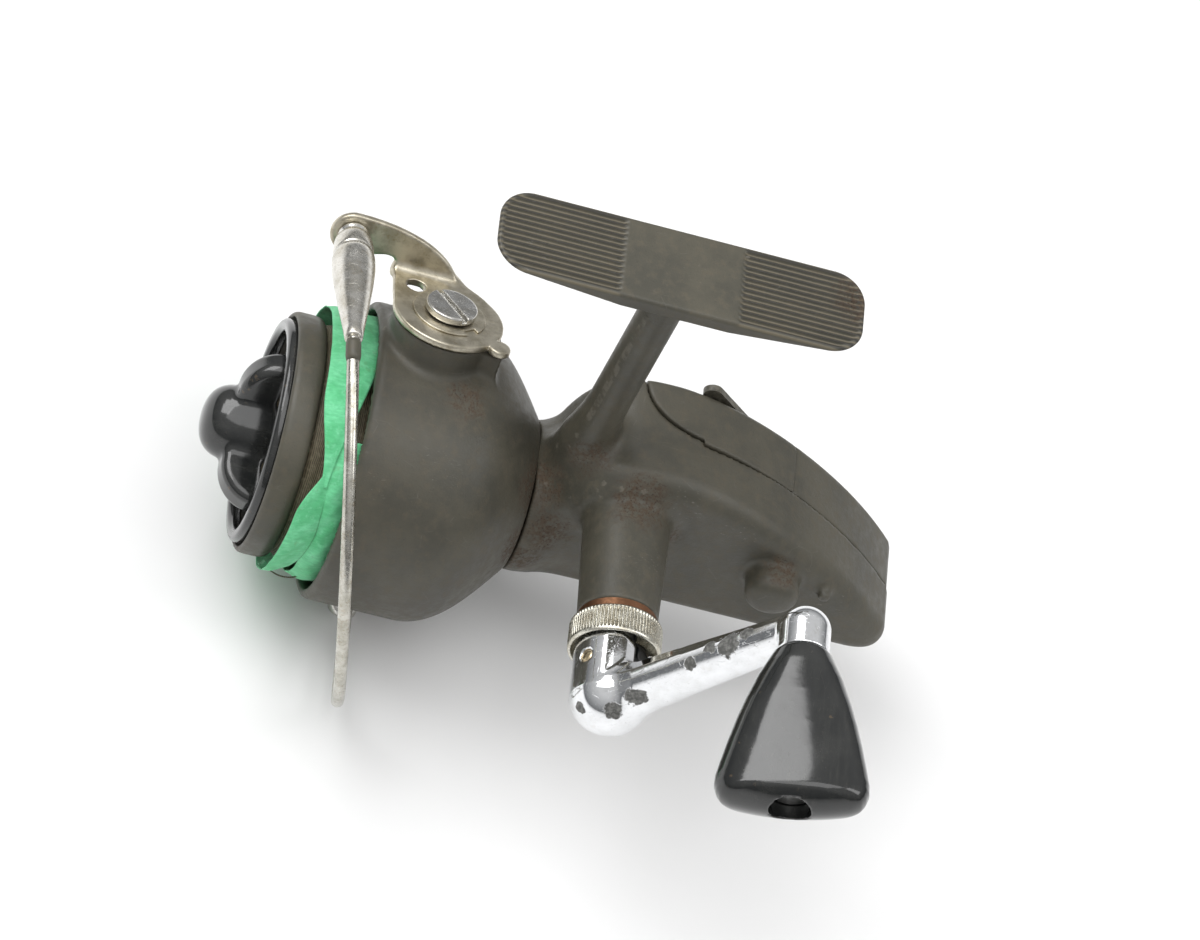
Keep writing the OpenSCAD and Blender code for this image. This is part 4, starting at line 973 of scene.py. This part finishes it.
# ---------------------------------------------------------------- spool, line and tape
spool_profile = np.concatenate([
    [[2.54, -10.9], [7.8, -10.9], [7.8, 0], [12.2, 0], [12.2, -10.9]],
    [[21.4, -10.95]], bezier((21.8, -10.95), (22.05, -10.7), (22.05, -9.3), (21.7, -9.02), 5),
    [[14, -9], [14, 7.5], [19.6, 7.5]], bezier((20.2, 7.5), (20.75, 8.0), (20.8, 8.8), (20.8, 9.8), 6),
    bezier((20.8, 11.3), (20.75, 12.2), (20.35, 12.48), (19.95, 12.45), 8),
    [[19.75, 12.2], [19.7, 10.1], [9, 10.1], [9, 6.0], [2.54, 6.0]]])
spool_paint = olive_paint("olive_paint_spool", [((9, 17, -11), 4.0)], [((11, 10, -17), 5.0)], 1.1)
add_piece("spool_body", *lathe(spool_profile, 256), shaft_matrix(), spool_paint, "spool_group",
          "olive_paint", ["spool"])

face_metal = bare_metal("polished_face", (0.80, 0.80, 0.80), (0.20, 0.34), spin=3.0)
face_profile = np.concatenate([[[9.05, 10.12], [17.1, 10.12], [17.2, 10.25]], [[17.15, 10.7], [17.0, 10.8]],
                               [[13.2, 10.8], [12.9, 10.74], [12.6, 10.8]], [[9.15, 10.8], [9.05, 10.7]]])
add_piece("spool_face_plate", *lathe(face_profile, 192), shaft_matrix(), face_metal, "spool_group",
          "polished_face", ["spool_face"])

line_x = np.arange(-8.9, 7.41, 0.1)
full = np.interp(line_x, [-8.9, -7, 5.5, 7.4], [19.4, 20.15, 19.95, 19.1])
winding = [[14.05, -8.9]] + [[r + 0.09 * abs(math.sin(math.pi * x / 0.34)), x] for r,
                             x in zip(full, line_x)] \
    + [[14.05, 7.4]]


def line_ripple(a, r, z):
    return np.where(r > 18, 0.10 * np.sin(3 * a + z * 2.1) + 0.06 * np.sin(7 * a - z * 3.3), 0.0)


add_piece("line_on_spool", *lathe(winding, 200, ripple=line_ripple), shaft_matrix(), line_material(),
          "spool_group", "fishing_line", ["line_winding"])


def smooth_step(t, low, high):
    t = np.clip((t - low) / (high - low), 0, 1)
    return t * t * (3 - 2 * t)


def ribbon(centre, count, across, thickness=0.16):
    """Closed strip of paper: centre(u, v) gives (angle, x, r) for u along and v across, both 0 to 1."""
    u = np.linspace(0, 1, count)[:, None]
    v = np.linspace(0, 1, across)[None, :]
    angle, x, r = centre(u, v)
    angle, x, r = (np.broadcast_to(w, (count, across)) for w in (angle, x, r))
    mid = np.stack([-r * np.sin(angle), r * np.cos(angle), x], -1)
    du = np.gradient(mid, axis=0)
    dv = np.gradient(mid, axis=1)
    normal = np.cross(du, dv)
    normal /= np.maximum(np.linalg.norm(normal, axis=-1, keepdims=True), 1e-9)
    top = (mid + normal * thickness / 2).reshape(-1, 3)
    low = (mid - normal * thickness / 2).reshape(-1, 3)
    n = count * across
    faces = []
    for i in range(count - 1):
        for k in range(across - 1):
            a = i * across + k
            faces.append((a, a + across, a + across + 1, a + 1))
            faces.append((n + a, n + a + 1, n + a + across + 1, n + a + across))
    rim = [i * across for i in range(count)]
    rim += [(count - 1) * across + k for k in range(1, across)]
    rim += [i * across + across - 1 for i in range(count - 2, -1, -1)]
    rim += [k for k in range(across - 2, 0, -1)]
    for a, b in zip(rim, rim[1:] + rim[:1]):
        faces.append((a, n + a, n + b, b))
    return np.concatenate([top, low]), np.array([f[::-1] for f in faces])


def creases(angle, x, size):
    return size * (0.5 * np.sin(9.0 * angle + 0.9 * x) + 0.3 * np.sin(17.0 * angle - 1.7 * x + 1.0)
                   + 0.25 * np.sin(31.0 * angle + 2.6 * x + 2.2))


def tape_wrap(u, v):
    """Loose wrap over the top and round the back."""
    angle = math.radians(38) + u * math.radians(262)
    open_out = smooth_step(u, 0.0, 0.16)
    left = 7.35 - 2.9 * (1 - open_out)
    right = 3.4 - 5.2 * smooth_step(u, 0.0, 0.30)
    x = left + (right - left) * v + creases(angle * 0.7, 0, 0.16) * np.sin(math.pi * v)
    r = 22.55 + 0.62 * np.sin(math.pi * (0.15 + 0.7 * v)) * open_out + creases(angle, x, 0.16)
    r = np.minimum(r, 23.62)
    return angle, x, r


def tape_leaf(u, v):
    """Strip that crosses over, bulges past the flange and turns under at the bottom."""
    angle = math.radians(52) - u * math.radians(92)
    spread = np.sin(math.pi * np.clip(u * 1.08, 0, 1)) ** 0.75
    left = 3.6 + 3.6 * smooth_step(u, 0.0, 0.30) + 0.9 * smooth_step(u, 0.25, 0.7)
    left = left - 0.3 * smooth_step(u, 0.85, 1.0)
    right = left - 0.9 - 4.0 * spread
    x = left + (right - left) * v
    bulge = 22.0 + 1.3 * spread
    r = bulge + 0.75 * smooth_step(x, 3.6, 7.6) * spread - 0.8 * v * v + creases(angle * 1.3, x, 0.12)
    r = np.where(x < 4.4, np.minimum(r, 23.6), r)
    return angle, x, r


def tape_under(u, v):
    """Lower layer on the rotor's side of the leaf."""
    angle = math.radians(60) - u * math.radians(128)
    left = 4.4 - 1.2 * smooth_step(u, 0.2, 0.6)
    right = -1.9 + 0.6 * np.sin(6 * u)
    x = left + (right - left) * v
    r = 21.7 + 0.7 * np.sin(math.pi * v) + 0.3 * u + creases(angle, x, 0.18)
    return angle, x, np.minimum(r, 23.3)


def tape_turn(u, v):
    """Fold at the bottom, where the strip turns back under itself."""
    angle = math.radians(-30) - u * math.radians(58)
    left = 8.0 - 1.4 * u
    x = left - (3.0 + 3.4 * smooth_step(u, 0.1, 0.8)) * v
    r = 22.3 + 0.8 * np.sin(math.pi * u) * (1 - v) - 0.7 * v + creases(angle * 1.2, x, 0.14)
    return angle, x, np.minimum(r, 23.55)


tape = tape_material()
parts_v, parts_f, start = [], [], 0
for shape, count, across in ((tape_wrap, 300, 22), (tape_leaf, 150, 20), (tape_under, 150, 18),
                             (tape_turn, 80, 16)):
    verts, faces = ribbon(shape, count, across)
    parts_v.append(verts)
    parts_f.append(faces + start)
    start += len(verts)
add_piece("paper_tape_wraps", np.concatenate(parts_v), np.concatenate(parts_f), shaft_matrix(), tape,
          "spool_group", "paper_tape", ["line_tape"])
# A loose end of line that shows below the tape
end_path = bezier((10.2, 19.4, 0.6), (11.4, 20.4, 2.8), (12.4, 19.9, 4.8), (12.9, 17.6, 6.9), 16)
add_piece("loose_line_end", *sweep(end_path, 0.13, 10), shaft_matrix(), line_material(), "spool_group",
          "fishing_line", ["line_tape"])

# ---------------------------------------------------------------- drag knob
knob_hub = Outline(np.concatenate([
    [[-3, 11.4], [6.7, 11.4], [6.6, 14]], bezier((6.5, 17), (6.5, 21.2), (4.9, 23.5), (0, 23.5), 20),
    [[-3, 23.5]]]))


def drag_distance(x, y, z):
    """In the shaft's frame: z forward."""
    r = np.hypot(x, y)
    ring = rounded_edge(np.abs(r - 18.15) - 1.15, np.abs(z - 12.6) - 1.2, 0.85)
    hub = knob_hub(r, z)
    lobes = np.full(np.broadcast(x, y, z).shape, 1e9)
    for k in range(3):
        a = math.radians(82) + 2 * math.pi * k / 3
        along, across = x * math.cos(a) + y * math.sin(a), -x * math.sin(a) + y * math.cos(a)
        u, v = along - 7.6, z - 12.6
        oval = (np.sqrt((u / 7.0) ** 2 + (v / 6.4) ** 2) - 1) * 6.6
        flat = np.maximum(oval, np.maximum(11.4 - z, 3 - along))
        lobes = np.minimum(lobes, rounded_edge(flat, np.abs(across) - 2.75, 1.5))
    d = blend_min(hub, lobes, 1.3)
    d = np.maximum(d, 11.42 - z)
    d = np.minimum(d, ring)
    d = np.maximum(d, -rounded_edge(r - 4.9, z - 16.6, 0.1))
    return np.maximum(d, -np.maximum(r - 3.95, z - 19.6))


drag_plastic = black_plastic("black_plastic_drag", shaft_matrix())
add_piece("drag_knob_star", *solid(drag_distance, (-19.6, -19.6, 11.2), (19.6, 19.6, 23.7), 0.27 * STEP),
          shaft_matrix(), drag_plastic, "drag", "black_plastic", ["drag_knob"])

# ---------------------------------------------------------------- collar, crank and knob
handle_axis = reel_matrix() @ Matrix.Translation((HANDLE_X, 0, HANDLE_Z)) @ Z_TO_Y
collar_metal = plated("collar_nickel", (0.70, 0.68, 0.60), (0.46, 0.43, 0.35), 0.5, (0.22, 0.40),
                      stains=0.4)
collar = np.concatenate([
    [[3.56, 31.4], [7.0, 31.4]], bezier((7.35, 31.42), (7.6, 31.55), (7.72, 31.7), (7.75, 31.9), 4),
    [[7.75, y] for y in np.linspace(32.0, 35.8, 12)],
    bezier((7.75, 35.9), (7.75, 36.2), (7.6, 36.48), (7.45, 36.5), 4),
    [[7.2, 36.46], [7.15, 36.3], [7.15, 33.3], [3.56, 33.3]]])


def knurls(a, r, z):
    band = smooth_step(z, 31.85, 32.05) * (1 - smooth_step(z, 35.7, 35.95)) * (r > 7.5)
    wave = np.abs(np.sin(38 * a))
    return band * (0.02 - 0.30 * (1 - wave) ** 1.4)


add_piece("collar_knurled", *lathe(collar, 912, ripple=knurls), handle_axis, collar_metal, "collar",
          "aged_nickel", ["lock_collar"])


def crank_distance(x, y, z):
    """In the crank's frame: x along the arm, z outward."""
    r = np.hypot(x, y)
    cyl = rounded_edge(r - FORK_R, np.abs(z - PIN_Y) - 6.0, 0.3)
    # The heel turns inside the collar's recess when the arm folds
    heel = np.maximum(np.hypot(x, z - PIN_Y) - FORK_R, np.sqrt(r * r + (z - PIN_Y) ** 2) - 7.9)
    cyl = np.where(z < PIN_Y, np.maximum(cyl, heel), cyl)
    ball = np.sqrt(x * x + y * y + ((z - ELBOW_Y) / 0.93) ** 2) - FORK_R
    d = np.minimum(cyl, ball)
    # Arm: round below, flat and bevelled on top, tapering to the end boss
    t = np.clip(x / THROW, 0, 1)
    half_w = np.interp(t, [0, 0.2, 1], [5.1, 4.35, 3.15])
    half_h = np.interp(t, [0, 0.2, 1], [5.3, 3.75, 2.75])
    mid = ELBOW_Y + 0.1 + 0.5 * t
    u, v = y / half_w, (z - mid) / half_h
    oval = (np.power(np.abs(u) ** 2.6 + np.abs(v) ** 2.6 + 1e-9, 1 / 2.6) - 1) * 3.2
    bevel = np.maximum((y + 0.62 * (mid - z)) * 0.85 - half_w * 0.92, -z + mid - half_h * 0.80)
    arm = np.maximum(np.maximum(oval, bevel), np.maximum(-x, x - THROW))
    d = blend_min(d, arm, 1.1)
    q = np.hypot(x - THROW, y)
    boss = rounded_edge(q - 4.25, np.abs(z - 46.6) - 4.3, 0.15)
    dome = np.sqrt((x - THROW) ** 2 + y * y + ((z - 46.3) * 1.06) ** 2) - 4.25
    boss = np.where(z < 46.3, np.maximum(boss, dome), boss)
    d = blend_min(d, boss, 0.45)
    slot = np.maximum(np.abs(y) - 1.8, np.maximum(z - PIN_Y - 4.8, x - 4.8))
    slot = np.minimum(slot, np.maximum(np.maximum(np.abs(y) - 1.8, z - PIN_Y - 1.4), x - 8.5))
    d = np.maximum(d, -slot)
    d = np.maximum(d, 1.25 - np.hypot(x, z - PIN_Y) + 0 * y)
    return np.maximum(d, -np.maximum(q - 1.8, 44.2 - z))


chips = [((28.2, 3.6, 46.0), 2.3), ((20.2, 3.7, 47.4), 1.25), ((8.1, 2.2, 48.8), 1.9),
         ((3.5, 2.4, 49.9), 1.7),
         ((-1.7, 4.9, 49.1), 1.1), ((31.5, 3.4, 45.2), 1.4), ((24.4, 3.9, 45.6), 1.4)]
chrome = plated("chrome_plate", (0.86, 0.87, 0.885), (0.78, 0.79, 0.80), 0.10, (0.05, 0.12),
                matrix=crank_matrix(),
                chips=chips, stains=0.12, pits=0.45)
add_piece("crank_casting", *solid(crank_distance, (-7.2, -7.2, 33.0), (46, 7.2, 51.6), 0.26 * STEP),
          crank_matrix(), chrome, "crank", "chrome_plate", ["crank_arm"])
pin_metal = plated("pin_brass", (0.72, 0.60, 0.40), (0.50, 0.40, 0.26), 0.4, (0.22, 0.38))
pin_matrix = crank_matrix() @ Matrix.Translation((0, 0, PIN_Y)) @ Matrix.Rotation(math.radians(90), 4, "X")
pin = np.concatenate([[[0, -6.45]], bezier((0.6, -6.45), (1.0, -6.35), (1.2, -6.2), (1.24, -5.9), 5),
                      bezier((1.24, 5.9), (1.2, 6.2), (1.0, 6.35), (0.6, 6.45), 5), [[0, 6.45]]])
add_piece("fold_pin_rivet", *spindle(pin, 48), pin_matrix, pin_metal, "crank", "brass", ["fold_pin"])

knob_place = Matrix.Translation((THROW, 0, KNOB_BACK)) @ Matrix.Rotation(KNOB_TURN, 4, "Z")
knob_matrix = crank_matrix() @ knob_place
KNOB_H = KNOB_END - KNOB_BACK


def knob_distance(x, y, z):
    half_w = np.interp(z, [-1, 0, 1.5, 3, 5, 9, 13, 17, 20.9, 23.5, 25, 26.2, 27.2, 28, 28.6, 29.3],
                       [4.4, 4.65, 5.4, 6.1, 7.0, 8.4, 9.65, 10.7, 11.6, 12.15, 12.2, 11.8, 11.1, 10.2, 9.1,
                        7.2])
    half_t = np.interp(z, [-1, 0, 1.5, 3, 9, 15, 20, 24, 29.3],
                       [4.75, 4.85, 5.0, 5.2, 5.35, 5.4, 5.4, 5.35, 5.2])
    u, v = x / half_w, y / half_t
    power = np.interp(z, [0, 4, 10], [2.0, 2.15, 2.45])
    side = np.power(np.abs(u) ** power + np.abs(v) ** power + 1e-9, 1 / power) - 1
    side = side * np.minimum(half_w, half_t)
    cap = (z - KNOB_H + 0.05 + 0.082 * y * y + 0.012 * x * x) * 0.8
    d = rounded_edge(side, cap, 0.45)
    d = rounded_edge(d, -z, 0.5)
    r = np.hypot(x, y)
    d = np.maximum(d, -rounded_edge(r - 3.4, KNOB_H - 5.5 - z, 0.2))
    return np.maximum(d, 1.84 - r)


knob_plastic = black_plastic("black_plastic_knob", knob_matrix)
add_piece("handle_knob_grip", *solid(knob_distance, (-12.8, -5.9, -0.3), (12.8, 5.9, 29.4), 0.3 * STEP),
          knob_matrix, knob_plastic, "knob", "black_plastic", ["handle_knob"])

# ---------------------------------------------------------------- carried CAD nodes
finishes = {
    "olive_paint": paint,
    "black_plastic": drag_plastic,
    "aged_nickel": aged,
    "chrome_plate": chrome,
    "polished_face": face_metal,
    "steel": bare_metal("steel", (0.52, 0.52, 0.51)),
    "dark_steel": bare_metal("dark_steel", (0.24, 0.24, 0.24), (0.35, 0.55)),
    "brass": bare_metal("brass", (0.60, 0.45, 0.22), (0.25, 0.42)),
    "bronze": bare_metal("bronze", (0.27, 0.135, 0.075), (0.35, 0.55)),
    "fishing_line": bpy.data.materials["fishing_line"],
    "paper_tape": tape,
}
slots = {part["node"]: part["material_slot"] for part in frame["record"]["subparts"]}
for name, obj in frame["nodes"].items():
    for place in obj.material_slots:
        place.material = paint if name == "anti_reverse_lever" else finishes[slots[name]]

# ---------------------------------------------------------------- floor, light and camera
low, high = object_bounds()
floor_mesh = bpy.data.meshes.new("floor")
FLOOR_REACH, FLOOR_GAP = 3.0, 0.0004      # metres
reach, drop = FLOOR_REACH, low[2] - FLOOR_GAP
floor_mesh.from_pydata([(-reach, -reach, drop), (reach, -reach, drop), (reach, reach, drop),
                        (-reach, reach, drop)],
                       [], [(0, 1, 2, 3)])
floor = bpy.data.objects.new("floor", floor_mesh)
bpy.context.scene.collection.objects.link(floor)
f = Shade("floor_card")
card = f.mix(f.step(f.noise(0.02, 3.0), 0.3, 0.7), (0.86, 0.86, 0.86), (0.89, 0.89, 0.89))
f.set(color=card, rough=0.85, metal=0.0, level=0.2)
floor_mesh.materials.append(f.mat)

AZIMUTH, ELEVATION, ROLL = math.radians(160.4), math.radians(53.5), math.radians(30)
EYE_RIGHT, EYE_DOWN, EYE_BACK = 44.3, 3.6, 1007.0
back = Vector((math.sin(AZIMUTH) * math.cos(ELEVATION), -math.cos(AZIMUTH) * math.cos(ELEVATION),
               math.sin(ELEVATION)))
level = Vector((0, 0, 1)).cross(back).normalized()
upright = back.cross(level)
right = level * math.cos(ROLL) + upright * math.sin(ROLL)
up = back.cross(right)
eye_at = ORIGIN + (right * EYE_RIGHT - up * EYE_DOWN + back * EYE_BACK) * MM
camera_data = bpy.data.cameras.new("camera")
camera_data.lens, camera_data.sensor_width = 180.0, 36.0
camera_data.clip_start, camera_data.clip_end = 0.05, 20.0
camera = bpy.data.objects.new("camera", camera_data)
bpy.context.scene.collection.objects.link(camera)
camera.matrix_world = Matrix((
    (right.x, up.x, back.x, eye_at.x), (right.y, up.y, back.y, eye_at.y), (right.z, up.z, back.z, eye_at.z),
    (0, 0, 0, 1)))
bpy.context.scene.camera = camera


def softbox(name, direction, distance, width, height, power, tint=(1, 1, 1)):
    data = bpy.data.lights.new(name, "AREA")
    data.shape, data.size, data.size_y = "RECTANGLE", width, height
    data.energy, data.color = power, tint
    lamp = bpy.data.objects.new(name, data)
    bpy.context.scene.collection.objects.link(lamp)
    direction = direction.normalized()
    lamp.location = ORIGIN + direction * distance
    lamp.rotation_euler = direction.to_track_quat("Z", "Y").to_euler()


softbox("key_softbox", up * 0.9 + back * 0.75 - right * 0.25, 0.9, 0.7, 0.5, 4.9)
softbox("top_softbox", Vector((0.1, 0.2, 1.0)), 1.2, 0.9, 0.9, 4.6)
softbox("side_softbox", right * 1.0 + back * 0.6 + up * 0.15, 0.9, 0.35, 0.6, 1.7)
world = bpy.data.worlds.new("studio")
world.use_nodes = True
nodes, links = world.node_tree.nodes, world.node_tree.links
nodes.clear()
sky_out = nodes.new("ShaderNodeOutputWorld")
sky = nodes.new("ShaderNodeBackground")
where = nodes.new("ShaderNodeTexCoord")
parts = nodes.new("ShaderNodeSeparateXYZ")
ramp = nodes.new("ShaderNodeValToRGB")
for element, (height, shade) in zip(ramp.color_ramp.elements,
                                    ((0.46, (0.16, 0.17, 0.18, 1)), (0.80, (1, 1, 1, 1)))):
    element.position, element.color = height, shade
shift = nodes.new("ShaderNodeMapRange")
shift.inputs["From Min"].default_value, shift.inputs["From Max"].default_value = -1.0, 1.0
links.new(where.outputs["Generated"], parts.inputs[0])
links.new(parts.outputs[2], shift.inputs[0])
links.new(shift.outputs[0], ramp.inputs[0])
links.new(ramp.outputs[0], sky.inputs[0])
sky.inputs[1].default_value = 0.62
links.new(sky.outputs[0], sky_out.inputs[0])
bpy.context.scene.world = world
bpy.context.scene.view_settings.view_transform = "Standard"
